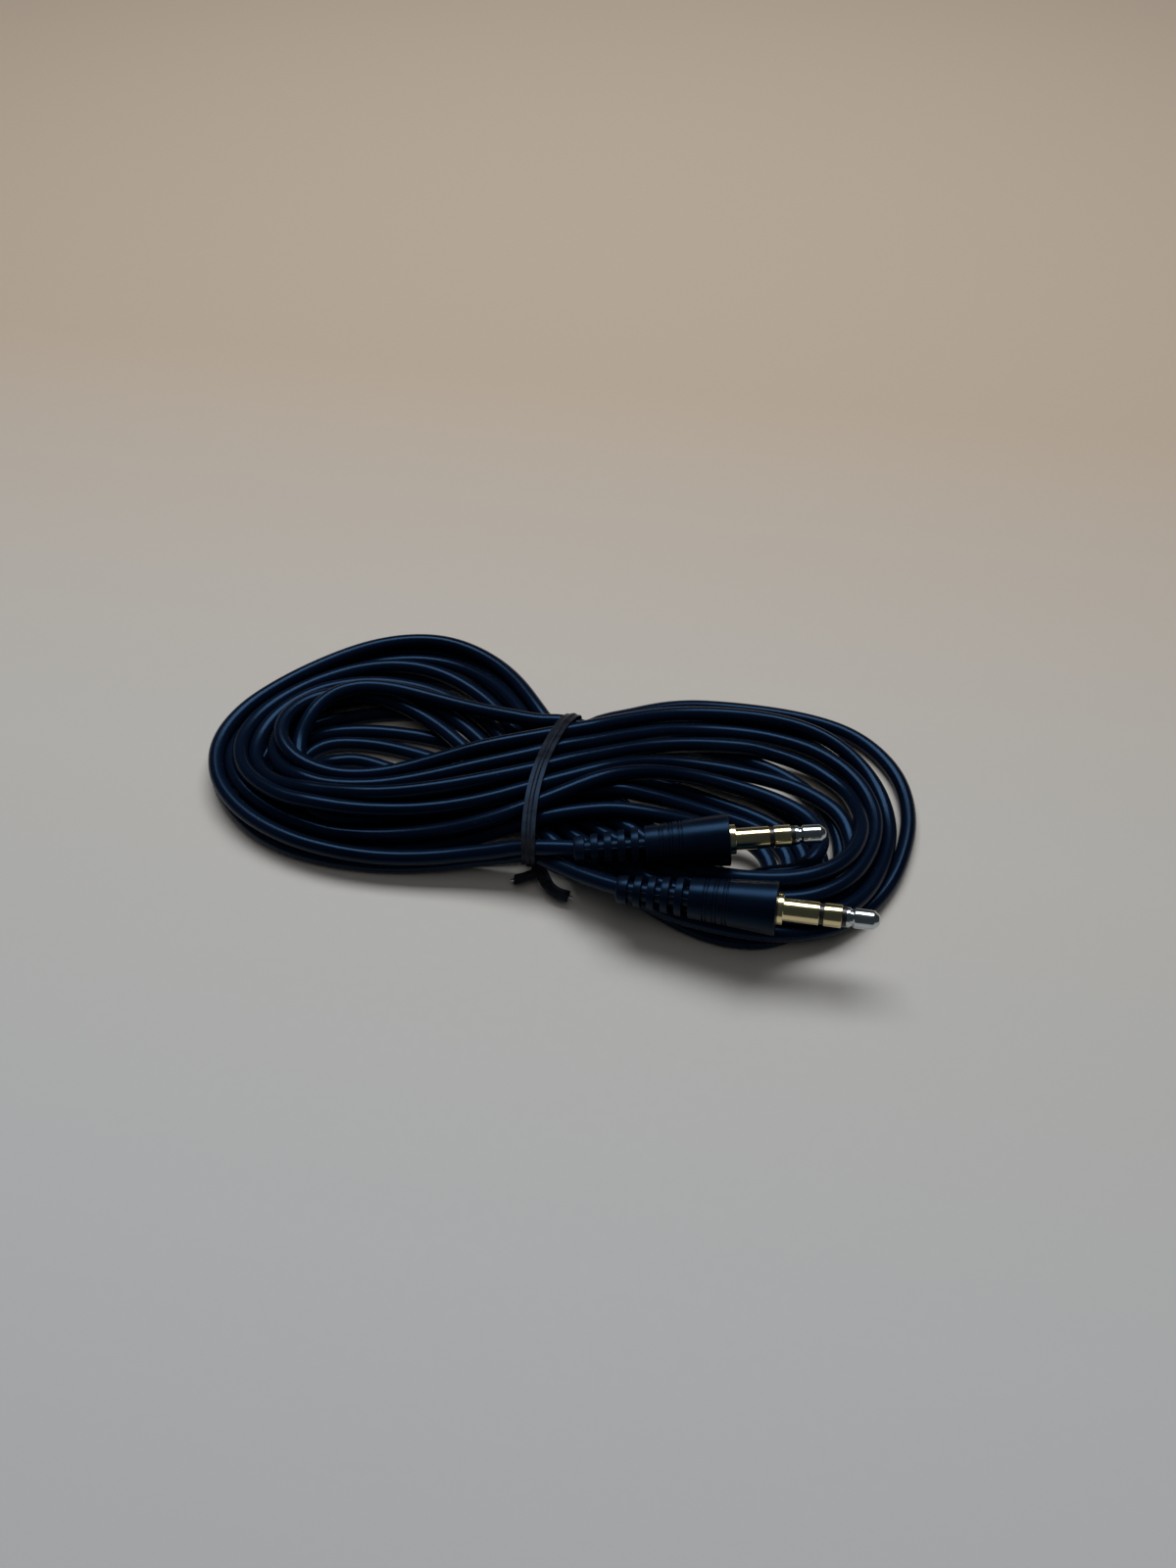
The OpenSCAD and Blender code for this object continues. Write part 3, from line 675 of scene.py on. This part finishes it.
def plated_material(name, tint, roughness, tarnish, turning=26.0):
    """Plating over turned brass: rings from the lathe, fine scuffs along the pin and a slow change of tone."""
    n = Nodes(name)
    rings = n.noise(n.place("lay", (turning, 0.15, 0.15)), 1.0, 2.0, 0.7)
    tone = n.noise(n.place(), 260.0, 3.0)
    scuff = n.noise(n.place("lay", (0.25, 9, 9)), 2.4, 3.0, 0.7)
    dark, pale = shades(tint, tarnish, 1.08)
    base = n.blend(n.between(tone, 0.0, 1.0), dark, pale)
    n.bump((rings, 0.10, 0.008), (scuff, 0.06, 0.006))
    rough = n.between(n.math("ADD", n.math("MULTIPLY", tone, 0.5), n.math("MULTIPLY", scuff, 0.5)),
                      roughness - 0.05, roughness + 0.09)
    return n.shade(Base_Color=base, Metallic=1.0, Roughness=rough)


def film_material(tie, cord):
    """Glossy film over a wire: slight creases across the ribbon and scuffed ridges."""
    n = Nodes("ribbon film")
    crease = n.noise(n.place(), 420.0, 3.0, 0.6, 0.6)
    fine = n.noise(n.place(), 2800.0, 2.0)
    dark, pale = shades(tuple(tie.film), 0.7, 1.6)
    base = n.blend(n.between(crease, 0.0, 1.0), dark, pale)
    n.bump((crease, 0.28, 0.08), (fine, 0.08, 0.02))
    return n.shade(Base_Color=base, Roughness=n.between(crease, tie.roughness - 0.06, tie.roughness + 0.12),
                   Specular_IOR_Level=0.09, Specular_Tint=tuple(cord.gloss))


def plain_material(name, tint, roughness, metallic=0.0, scale=320.0, spread=0.25):
    """Plastic or metal that sits inside: uneven tone, uneven gloss and a fine skin."""
    n = Nodes(name)
    tone = n.noise(n.place(), scale, 4.0)
    fine = n.noise(n.place(), scale * 9, 2.0)
    dark, pale = shades(tint, 1 - spread, 1 + spread)
    n.bump((tone, 0.15, 0.03), (fine, 0.08, 0.01))
    return n.shade(Base_Color=n.blend(n.between(tone, 0.0, 1.0), dark, pale), Metallic=metallic,
                   Roughness=n.between(tone, max(0.02, roughness - 0.06), min(1.0, roughness + 0.1)))


def surface_material(stage):
    """Pale matt board: a slow change of colour from front to back, painted shade behind the hank and painted light in
    front of it, and a fine tooth.
    """
    n = Nodes("pale surface")
    place = n.add("ShaderNodeTexCoord").outputs["Object"]
    along = n.add("ShaderNodeSeparateXYZ", Vector=place).outputs["Y"]
    # Painted shade behind the hank, and painted light further in front of it.
    far = n.between(along, 0.0, 1.0, 0.0, 0.13)
    near = n.between(along, 1.0, 0.0, -0.075, -0.01)
    base = n.blend(far, tuple(stage.surface), tuple(stage.surface_far_painted_shade))
    base = n.blend(near, base, tuple(stage.surface_near_painted_light))
    tooth = n.noise(place, 700.0, 3.0)
    n.bump((tooth, 0.05, 0.03))
    return n.shade(Base_Color=base, Roughness=n.between(tooth, 0.62, 0.75), Specular_IOR_Level=0.25)


# ---- the cord by geometry nodes

LAY_PER_METRE = 1000.0 / 30.0


def cord_tree():
    """Follows a curve with a round section, and stores how far along and which way round each point is."""
    tree = bpy.data.node_groups.new("Cord along a curve", "GeometryNodeTree")
    for name, kind, direction in (
        ("Geometry", "NodeSocketGeometry", "INPUT"), ("Diameter", "NodeSocketFloat", "INPUT"),
        ("Sides", "NodeSocketInt", "INPUT"), ("Material", "NodeSocketMaterial", "INPUT"),
        ("Geometry", "NodeSocketGeometry", "OUTPUT"),
    ):
        tree.interface.new_socket(name, in_out=direction, socket_type=kind)
    add, join = tree.nodes.new, tree.links.new

    def math(operation, a, b=None):
        node = add("ShaderNodeMath")
        node.operation = operation
        join(a, node.inputs[0])
        if isinstance(b, float):
            node.inputs[1].default_value = b
        return node.outputs[0]

    def keep(geometry, field, name):
        node = add("GeometryNodeCaptureAttribute")
        node.capture_items.new("FLOAT", name)
        join(geometry, node.inputs["Geometry"])
        join(field, node.inputs[name])
        return node.outputs["Geometry"], node.outputs[name]

    given, made = add("NodeGroupInput"), add("NodeGroupOutput")
    line, along = keep(given.outputs["Geometry"], add("GeometryNodeSplineParameter").outputs["Length"], "along")
    circle = add("GeometryNodeCurvePrimitiveCircle")
    join(given.outputs["Sides"], circle.inputs["Resolution"])
    join(math("MULTIPLY", given.outputs["Diameter"], 0.5), circle.inputs["Radius"])
    ring, around = keep(circle.outputs["Curve"], add("GeometryNodeSplineParameter").outputs["Factor"], "around")
    tube = add("GeometryNodeCurveToMesh")
    tube.inputs["Fill Caps"].default_value = True
    join(line, tube.inputs["Curve"])
    join(ring, tube.inputs["Profile Curve"])
    turn = math("MULTIPLY", around, tau)
    lay = add("ShaderNodeCombineXYZ")
    join(math("MULTIPLY", along, LAY_PER_METRE), lay.inputs["X"])
    join(math("COSINE", turn), lay.inputs["Y"])
    join(math("SINE", turn), lay.inputs["Z"])
    store = add("GeometryNodeStoreNamedAttribute")
    store.data_type = "FLOAT_VECTOR"
    store.inputs["Name"].default_value = "lay"
    join(tube.outputs["Mesh"], store.inputs["Geometry"])
    join(lay.outputs["Vector"], store.inputs["Value"])
    soft, real, paint = (add("GeometryNode" + kind) for kind in ("SetShadeSmooth", "RealizeInstances", "SetMaterial"))
    for one, two in ((store, soft), (soft, real), (real, paint), (paint, made)):
        join(one.outputs["Geometry"], two.inputs["Geometry"])
    join(given.outputs["Material"], paint.inputs["Material"])
    return tree


def along_curve(name, points, diameter, sides, material):
    """A curve through the points with the cord tree on it, turned into a plain mesh."""
    curve = bpy.data.curves.new(name + " line", "CURVE")
    curve.dimensions = "3D"
    curve.twist_mode = "MINIMUM"
    spline = curve.splines.new("POLY")
    spline.points.add(len(points) - 1)
    spline.points.foreach_set("co", np.column_stack([points, np.ones(len(points))]).ravel())
    line = link(bpy.data.objects.new(name + " line", curve))
    tree = cord_tree()
    modifier = line.modifiers.new("Cord", "NODES")
    modifier.node_group = tree
    values = {"Diameter": diameter, "Sides": sides, "Material": material}
    for item in tree.interface.items_tree:
        if item.in_out == "INPUT" and item.name in values:
            modifier[item.identifier] = values[item.name]
    bpy.context.view_layer.update()
    shown = line.evaluated_get(bpy.context.evaluated_depsgraph_get())
    mesh = bpy.data.meshes.new_from_object(shown)
    mesh.name = name
    line.modifiers.remove(modifier)
    bpy.data.objects.remove(line)
    bpy.data.node_groups.remove(tree)
    return link(bpy.data.objects.new(name, mesh))


# ---- the boots

# In mm. Two bars bridge each slot, turned by BAR_ROLL (radians) from the boot's level sides.
BORE_D, MOULD_D, ROOT_D = 2.7, 4.96, 4.46
MOULD_X, ROOT_X = 11.3, 19.5
SLOT_FIRST, SLOT_FLOOR = 1.7, 1.4
BAR_HALF, BAR_SUNK, BAR_ROLL = 0.26, 0.45, 0.8
BAR_EDGE, BAR_EASE = 0.06, 0.08
GROOVES = [13.2 + 1.5 * i + 0.5 * j for i in range(3) for j in (0, 1)]
GROOVE_WIDE, GROOVE_DEEP = 0.2, 0.24
# Stations along the outside; those of a cut are counted inwards from both its edges.
REAR_STOPS, PLAIN_STOPS, FRONT_STOPS = (0.0, 0.12, 0.35), (12.4, 18.5, 20.0, 21.5, 23.0), (0.2, 0.08, 0)
SLOT_STOPS, GROOVE_STOPS = (-0.16, -0.05, -0.01, 0.03), (-0.14, -0.06, 0, 0.04)
# Rounding of the ends: how far it reaches and how deep it goes
REAR_EASE, FRONT_EASE = (0.3, 0.22), (0.15, 0.10)
# The skin sinks near a cut, and more at its very edge.
NEAR_CUT, AT_EDGE, IN_GROOVE = 0.1, 0.03, 0.02
GROOVE_LIP, SLOT_LIP, SLOT_EASE = 0.05, 0.09, 0.02
BOOT_SIDES, SLOT_RADII = 72, (2.4, 2.75, 3.1, 3.45)


def cut_stops(a, b, offsets):
    return {a + s for s in offsets} | {b - s for s in offsets}


def boot_slots(boot):
    """Where each slot starts, and its width."""
    return [(SLOT_FIRST + i * boot.slot_pitch / MM, boot.slot_width / MM) for i in range(boot.slots)]


def boot_profile(boot):
    """Outer stations from rear to front, then the bore back to the rear."""
    long, rear, front = boot.length / MM, boot.rear / MM / 2, boot.front / MM / 2

    def cone(x):
        return mix(rear, front, x / long)

    stops = {*REAR_STOPS, *PLAIN_STOPS, *(long - s for s in FRONT_STOPS)}
    for a, wide in boot_slots(boot):
        stops |= cut_stops(a, a + wide, SLOT_STOPS)
    for x in GROOVES:
        stops |= cut_stops(x, x + GROOVE_WIDE, GROOVE_STOPS)
    outer = [(x, cone(x), True) for x in sorted(stops)]
    inner = [(long, ROOT_D / 2, False), (ROOT_X, ROOT_D / 2, False), (ROOT_X, MOULD_D / 2, False),
             (MOULD_X, MOULD_D / 2, False), (MOULD_X, BORE_D / 2, False), (0.0, BORE_D / 2, False)]
    return outer + inner


def boot_radius(boot):
    """How the surface lies inside the plain cone: slots bridged by two bars, grooves, and eased edges."""
    long, slots = boot.length / MM, boot_slots(boot)
    (rear_reach, rear_deep), (front_reach, front_deep) = REAR_EASE, FRONT_EASE

    def radius(x, r, angle):
        if x < rear_reach:
            r -= rear_deep * (1 - x / rear_reach) ** 2
        if x > long - front_reach:
            r -= front_deep * ((x - long + front_reach) / front_reach) ** 2
        for g in GROOVES:
            if g - NEAR_CUT < x < g + GROOVE_WIDE + NEAR_CUT:
                if g + IN_GROOVE < x < g + GROOVE_WIDE - IN_GROOVE:
                    return r - GROOVE_DEEP
                r -= GROOVE_LIP if g - AT_EDGE < x < g + GROOVE_WIDE + AT_EDGE else 0.0
        side = abs(r * sin(angle + BAR_ROLL))
        for a, wide in slots:
            if a - NEAR_CUT < x < a + wide + NEAR_CUT:
                open_here = smooth(BAR_HALF - BAR_EASE, BAR_HALF + BAR_EASE, side)
                if a < x < a + wide:
                    return mix(r - BAR_SUNK, SLOT_FLOOR, open_here)
                return r - open_here * (SLOT_LIP if a - AT_EDGE < x < a + wide + AT_EDGE else SLOT_EASE)
        return r

    return radius


def boot_angles():
    """Angles round the boot, with three close together at each edge of the bars."""
    out = set(round_angles(BOOT_SIDES))
    for r in SLOT_RADII:
        for offset in (BAR_HALF - BAR_EDGE, BAR_HALF, BAR_HALF + BAR_EDGE):
            a = asin(offset / r)
            out |= {(b - BAR_ROLL) % tau for b in (a, pi - a, pi + a, tau - a)}
    return sorted(out)


# ---- the contacts, in mm from the boot's rear

# Each corner: how far along, its radius, and how far its chamfer reaches
SLEEVE_PROFILE = [(19.5, 1.3, 0), (19.5, 2.2, 0), (24.0, 2.2, 0), (24.0, 2.4, 0.08), (25.0, 2.4, 0.12),
                  (25.0, 1.75, 0.06), (30.2, 1.75, 0.12), (30.2, 1.3, 0)]
RING_PROFILE = [(30.85, 1.05, 0), (30.85, 1.75, 0.12), (33.45, 1.75, 0.12), (33.45, 1.05, 0)]
TIP_PROFILE = [(34.1, 0.0, 0), (34.1, 1.5, 0.08), (34.6, 1.5, 0.08), (34.8, 1.25, 0.08), (35.0, 1.25, 0.08),
               (35.3, 1.52, 0.12), (38.0, 1.46, 0.12), (38.75, 0.85, 0.1), (38.9, 0.6, 0.06), (38.9, 0.0, 0)]
CONTACT_SIDES, CHAMFER_STEPS = 96, 3
CHAMFER_SHARE = 0.45


# ---- the twist tie

RIBBON_STEP, SWEEP_STEP = 0.5 * MM, 0.32 * MM
# How far the ribbon passes outside the cords, which cords it goes round, and how high it lies
TIE_SPARE, TIE_NEAR, TIE_LIFT = 0.04 * MM, 1.6 * MM, 0.05 * MM
LOOP_SIDES, LOOP_PASSES = 24, 6
FLOOR_GAP = 0.02 * MM
TIE_ASIDE = 0.5 * MM
WIRE_R, WIRE_SIDES, WIRE_OUT = 0.2 * MM, 10, 0.6 * MM
# The knot, in mm: where it starts and ends along KNOT_OUT, and how far each ribbon is from its middle
KNOT_Z = 2.6 * MM
KNOT_OUT = (0.75, -0.64, -0.12)
KNOT_TURNS, KNOT_STEPS, KNOT_SPAN, KNOT_R = 0.9, 12, (0.5, 2.3), 0.36
# The tails beyond the knot: places in mm from its end, and the way the flat side faces
LEFT_TAIL = (((-0.9, -0.8, 0.0), (0.2, 0.3, 0.9)), ((-2.0, -1.3, -0.2), (0.1, 0.3, 1)),
             ((-3.1, -1.7, -0.6), (0.1, 0.2, 1)), ((-4.0, -1.9, -0.9), (0, 0.1, 1)))
RIGHT_TAIL = (((1.0, -1.1, -0.3), (-0.2, 0.3, 0.9)), ((2.1, -2.4, -0.7), (0, 0.3, 1)),
              ((3.7, -3.3, -1.0), (0, 0.1, 1)), ((5.6, -3.6, -1.2), (0, 0, 1)))
# Half the ribbon's section over its wire: places across in mm, and how much of the core's height each has
HUMP = ((0.42, 0), (0.3, 0.7), (0.13, 1))
RIBBON_EDGE = 0.05 * MM


def hull(points):
    """The outline round a set of points on a plane, counter-clockwise."""
    order = sorted(map(tuple, points))

    def turns_in(o, a, b):
        return (a[0] - o[0]) * (b[1] - o[1]) <= (a[1] - o[1]) * (b[0] - o[0])

    def chain(items):
        out = []
        for p in items:
            while len(out) > 1 and turns_in(out[-2], out[-1], p):
                out.pop()
            out.append(p)
        return out[:-1]

    return np.array(chain(order) + chain(order[::-1]))


def tie_loop(route, core):
    """The ribbon's middle line round the waist, from the knot up over the cords and back under them."""
    aside = np.abs(route[:, 0] - tie_line(route[:, 1]))
    reach = CORD_R + core / 2 + TIE_SPARE
    around = np.array([(cos(a), sin(a)) for a in round_angles(LOOP_SIDES)]) * reach
    cut = (route[aside < TIE_NEAR, 1:][:, None, :] + around[None]).reshape(-1, 2)
    cut[:, 1] = np.maximum(cut[:, 1], core / 2 + TIE_LIFT)
    line = hull(cut)[::-1]
    line = evenly(np.column_stack([line, np.zeros(len(line))]), RIBBON_STEP)[:, :2]
    line = np.vstack([line, evenly(np.array([[*line[-1], 0], [*line[0], 0]]), RIBBON_STEP)[1:-1, :2]])
    for _ in range(LOOP_PASSES):
        line = 0.5 * line + 0.25 * (np.roll(line, 1, 0) + np.roll(line, -1, 0))
    start = np.argmin(np.where(line[:, 0] < TIE_Y, np.abs(line[:, 1] - KNOT_Z), 1))
    return np.roll(line, -start, axis=0)


def tie_rings(route, tie):
    """Rings of the ribbon: middle, the way its flat side faces, from one tail round the waist to the other."""
    loop = tie_loop(route, tie.core)
    tangent = units(np.roll(loop, -1, 0) - np.roll(loop, 1, 0))
    facing = np.column_stack([-tangent[:, 1], tangent[:, 0]])
    middle = loop.mean(0)
    facing *= np.sign(((loop - middle) * facing).sum(1))[:, None]
    share = np.linspace(-1, 1, len(loop))
    aside = TIE_ASIDE * np.sign(share) * np.abs(share) ** 3
    x = tie_line(loop[:, 0]) + aside
    rings = [(np.array([x[i], *loop[i]]), np.array([0, *facing[i]])) for i in range(len(loop))]
    knot = np.array([x[0] + TIE_ASIDE, loop[0, 0], loop[0, 1]])
    out = np.array(KNOT_OUT)
    out /= np.linalg.norm(out)
    right = np.array([1.0, 0, 0])
    up = np.cross(right, out)

    def tail(sign, ends):
        """One ribbon end: it winds about the other one and then lies down on its own side."""
        line = []
        for k in range(KNOT_STEPS + 1):
            t = k / KNOT_STEPS
            angle = sign * pi / 2 + KNOT_TURNS * tau * t
            radial = cos(angle) * right + sin(angle) * up
            line.append((knot + out * mix(*KNOT_SPAN, t) * MM + radial * KNOT_R * MM, radial))
        last = line[-1][0]
        for place, face in ends:
            line.append((last + np.array(place) * MM, np.array(face, float)))
        return line

    return tail(-1, RIGHT_TAIL)[::-1] + rings + tail(1, LEFT_TAIL)


def spaced_rings(rings, step):
    points = catmull(np.array([p for p, _ in rings]), 4)
    faces = catmull(np.array([f for _, f in rings]), 4)
    along = way_along(points)
    at = np.linspace(0, along[-1], int(along[-1] / step))
    pick = [np.interp(at, along, both[:, k]) for both in (points, faces) for k in range(3)]
    return np.column_stack(pick[:3]), np.column_stack(pick[3:]), at


def swept(name, rings, outline, floor, material, sharp=35):
    """A section swept along rings, closed at both ends, and never lower than the floor."""
    middle, facing, along = rings
    tangent = units(np.gradient(middle, axis=0))
    facing = units(facing - (facing * tangent).sum(1)[:, None] * tangent)
    across = np.cross(tangent, facing)
    points, lay = [], []
    for i in range(len(middle)):
        for u, v in outline:
            p = middle[i] + u * across[i] + v * facing[i]
            points.append((p[0], p[1], max(p[2], floor)))
            lay.append((along[i] / MM, u / MM, v / MM))
    count = len(outline)
    faces = [(i * count + k, i * count + (k + 1) % count, (i + 1) * count + (k + 1) % count, (i + 1) * count + k)
             for i in range(len(middle) - 1) for k in range(count)]
    faces += [tuple(range(count))[::-1], tuple(range((len(middle) - 1) * count, len(middle) * count))]
    return build(name, points, faces, lay, material, sharp)


def ribbon_outline(tie):
    half, web, core = tie.width / 2, tie.web / 2, tie.core / 2
    hump = [(u * MM, mix(web, core, share)) for u, share in HUMP]
    top = [(half - RIBBON_EDGE, web), *hump, *[(-u, v) for u, v in hump[::-1]], (-half + RIBBON_EDGE, web), (-half, 0)]
    return [(half, 0), *top, *[(u, -v) for u, v in top[:-1][::-1]]]


# ---- operators

SURFACE_HALF = 2.0
WORLD_TINT, WORLD_STRENGTH = (0.7, 0.86, 1.0, 1), 0.04
# Name, place, power in W, size and tint. Both face the middle of the surface.
LIGHTS = (
    ("window", (-0.05, 0.30, 0.62), 4.9, (0.62, 0.30), (0.95, 0.98, 1.0)),
    ("ceiling", (0.10, -0.25, 0.95), 1.35, (0.7, 0.7), (1.0, 0.96, 0.91)),
)
CAMERA_PLACE = (0.0261, -0.1264, 0.1608)
CAMERA_TURN, CAMERA_TILT = radians(10), radians(50)
SENSOR, LENS = 36.0, 28.125


def look(way):
    """The turn that makes a light or a camera look that way."""
    return Vector(way).to_track_quat("-Z", "Y").to_euler()

class CABLE_OT_stage(bpy.types.Operator):
    """Makes the surface, the lights and the camera"""
    bl_idname = "cable.stage"
    bl_label = "Stage"

    def execute(self, context):
        settings = context.scene.cable_stage
        half = SURFACE_HALF
        mesh = bpy.data.meshes.new("surface")
        mesh.from_pydata([(-half, -half, 0), (half, -half, 0), (half, half, 0), (-half, half, 0)], [], [(0, 1, 2, 3)])
        mesh.materials.append(surface_material(settings))
        link(bpy.data.objects.new("surface", mesh))
        world = bpy.data.worlds.new("studio")
        world.use_nodes = True
        background = world.node_tree.nodes["Background"]
        background.inputs["Color"].default_value = WORLD_TINT
        background.inputs["Strength"].default_value = WORLD_STRENGTH
        context.scene.world = world
        for name, place, power, size, tint in LIGHTS:
            light = bpy.data.lights.new(name, "AREA")
            light.shape = "RECTANGLE"
            light.size, light.size_y = size
            light.energy = power
            light.color = tint
            lamp = link(bpy.data.objects.new(name, light))
            lamp.location = place
            lamp.visible_glossy = name == "window"
            lamp.rotation_euler = look(-Vector(place))
        data = bpy.data.cameras.new("camera")
        data.sensor_fit, data.sensor_height, data.lens = "VERTICAL", SENSOR, LENS
        camera = link(bpy.data.objects.new("camera", data))
        turn, tilt = CAMERA_TURN, CAMERA_TILT
        camera.location = CAMERA_PLACE
        camera.rotation_euler = look((-sin(turn) * cos(tilt), cos(turn) * cos(tilt), -sin(tilt)))
        context.scene.camera = camera
        context.scene.view_settings.view_transform = "Standard"
        return {"FINISHED"}


class CABLE_OT_cord(bpy.types.Operator):
    """Makes the whole cord, from inside one boot through the hank to inside the other"""
    bl_idname = "cable.cord"
    bl_label = "Cord"

    def execute(self, context):
        settings = context.scene.cable_cord
        line = catmull(settled_route(), 2)
        cord = along_curve("cord", line, settings.diameter, settings.sides, jacket_material(settings))
        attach(cord, BODY)
        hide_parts("hank_cord", "upper_lead", "lower_lead")
        ROUTE["line"] = line
        return {"FINISHED"}


class CABLE_OT_boots(bpy.types.Operator):
    """Makes the two moulded boots with their strain relief"""
    bl_idname = "cable.boots"
    bl_label = "Boots"

    def execute(self, context):
        settings = context.scene.cable_boot
        material = boot_material(settings, context.scene.cable_cord)
        profile, angles, radius = boot_profile(settings), boot_angles(), boot_radius(settings)
        points, faces, lay = turned_mesh(profile, angles, True, radius)
        for side in SIDES:
            boot = build(side + "_moulded_boot", on_plug(side, points), faces, lay, material, 32)
            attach(boot, BODY)
            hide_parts(side + "_boot")
        return {"FINISHED"}


class CABLE_OT_contacts(bpy.types.Operator):
    """Makes the sleeve, ring and tip contacts of both plugs"""
    bl_idname = "cable.contacts"
    bl_label = "Contacts"

    def execute(self, context):
        settings = context.scene.cable_contact
        gold = plated_material("gold plating", tuple(settings.gold), settings.roughness, 0.86)
        silver = plated_material("bright plating", tuple(settings.silver), settings.roughness, 0.85)
        kinds = (("sleeve_contact", SLEEVE_PROFILE, True, gold, "gold_plating"),
                 ("ring_contact", RING_PROFILE, True, gold, "gold_plating"),
                 ("tip_contact", TIP_PROFILE, False, silver, "nickel_plating"))
        for kind, profile, closed, material, slot in kinds:
            points, faces, lay = turned_mesh(smoothed(profile, CHAMFER_STEPS), round_angles(CONTACT_SIDES), closed)
            for side in SIDES:
                piece = build(side + "_plated_" + kind, on_plug(side, points), faces, lay, material, 30)
                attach(piece, BODY)
                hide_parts(side + "_" + kind)
        return {"FINISHED"}


class CABLE_OT_tie(bpy.types.Operator):
    """Makes the twist tie: the ribbon round the waist, its knot and its wire"""
    bl_idname = "cable.tie"
    bl_label = "Twist tie"

    def execute(self, context):
        settings = context.scene.cable_tie
        rings = spaced_rings(tie_rings(ROUTE["line"], settings), SWEEP_STEP)
        film = film_material(settings, context.scene.cable_cord)
        ribbon = swept("twist_ribbon", rings, ribbon_outline(settings), FLOOR_GAP, film)
        wire_circle = [(WIRE_R * cos(a), WIRE_R * sin(a)) for a in round_angles(WIRE_SIDES)]
        middle, facing, along = rings
        ends = np.array([2 * middle[0] - middle[2], *middle, 2 * middle[-1] - middle[-3]])
        sides = np.array([facing[0], *facing, facing[-1]])
        reach = np.array([-WIRE_OUT, *along, along[-1] + WIRE_OUT])
        steel = plain_material("drawn wire", (0.5, 0.5, 0.52), 0.3, 1.0, 600.0)
        wire = swept("twist_wire", (ends, sides, reach), wire_circle, FLOOR_GAP, steel)
        for piece, node, slot in ((ribbon, "tie_ribbon", "ribbon_plastic"), (wire, "tie_wire", "tie_steel")):
            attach(piece, BODY)
            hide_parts(node)
        return {"FINISHED"}


class CABLE_OT_inside(bpy.types.Operator):
    """Gives the pieces inside the boots and the insulating collars their finish"""
    bl_idname = "cable.inside"
    bl_label = "Inside pieces"

    def execute(self, context):
        collar = tuple(context.scene.cable_contact.collar)
        finishes = {
            "black_insulator": plain_material("black insulator", collar, 0.3),
            "inner_plastic": plain_material("milky plastic", (0.72, 0.69, 0.6), 0.5),
            "tinned_brass": plain_material("tinned brass", (0.6, 0.6, 0.6), 0.34, 1.0),
            "white_insulation": plain_material("white insulation", (0.75, 0.75, 0.72), 0.42),
            "red_insulation": plain_material("red insulation", (0.45, 0.02, 0.015), 0.42),
            "copper": plain_material("copper strands", (0.62, 0.3, 0.17), 0.32, 1.0, 900.0),
            "solder": plain_material("solder", (0.62, 0.63, 0.65), 0.28, 1.0, 700.0),
        }
        for subpart in frame["record"]["subparts"]:
            material = finishes.get(subpart["material_slot"])
            node = frame["nodes"][subpart["node"]]
            if material:
                for place in node.material_slots:
                    place.material = material
        return {"FINISHED"}


class CABLE_OT_declare(bpy.types.Operator):
    """Measures the cord's real length along its middle line"""
    bl_idname = "cable.declare"
    bl_label = "State the cord"

    def execute(self, context):
        line = ROUTE["line"]
        along = float(steps(line).sum())
        return {"FINISHED"}


ROUTE = {}


class CABLE_PT_panel(bpy.types.Panel):
    """Lists the pieces of the cable"""
    bl_idname = "CABLE_PT_panel"
    bl_label = "Audio cable"
    bl_space_type = "VIEW_3D"
    bl_region_type = "UI"
    bl_category = "Cable"

    def draw(self, context):
        for operator in OPERATORS:
            self.layout.operator(operator.bl_idname)
        for name, kind in SETTINGS.items():
            box = self.layout.box()
            for key in kind.__annotations__:
                box.prop(getattr(context.scene, name), key)


OPERATORS = (CABLE_OT_stage, CABLE_OT_cord, CABLE_OT_boots, CABLE_OT_contacts, CABLE_OT_tie, CABLE_OT_inside,
             CABLE_OT_declare)
SETTINGS = {"cable_cord": CordSettings, "cable_boot": BootSettings, "cable_contact": ContactSettings,
            "cable_tie": TieSettings, "cable_stage": StageSettings}


def register():
    for item in (*SETTINGS.values(), *OPERATORS, CABLE_PT_panel):
        bpy.utils.register_class(item)
    for name, kind in SETTINGS.items():
        setattr(bpy.types.Scene, name, PointerProperty(type=kind))


def unregister():
    for name in SETTINGS:
        delattr(bpy.types.Scene, name)
    for item in reversed((*SETTINGS.values(), *OPERATORS, CABLE_PT_panel)):
        bpy.utils.unregister_class(item)


def main():
    register()
    bpy.ops.cable.stage()
    bpy.ops.cable.cord()
    bpy.ops.cable.boots()
    bpy.ops.cable.contacts()
    bpy.ops.cable.tie()
    bpy.ops.cable.inside()
    bpy.ops.cable.declare()


if __name__ == "__main__":
    main()
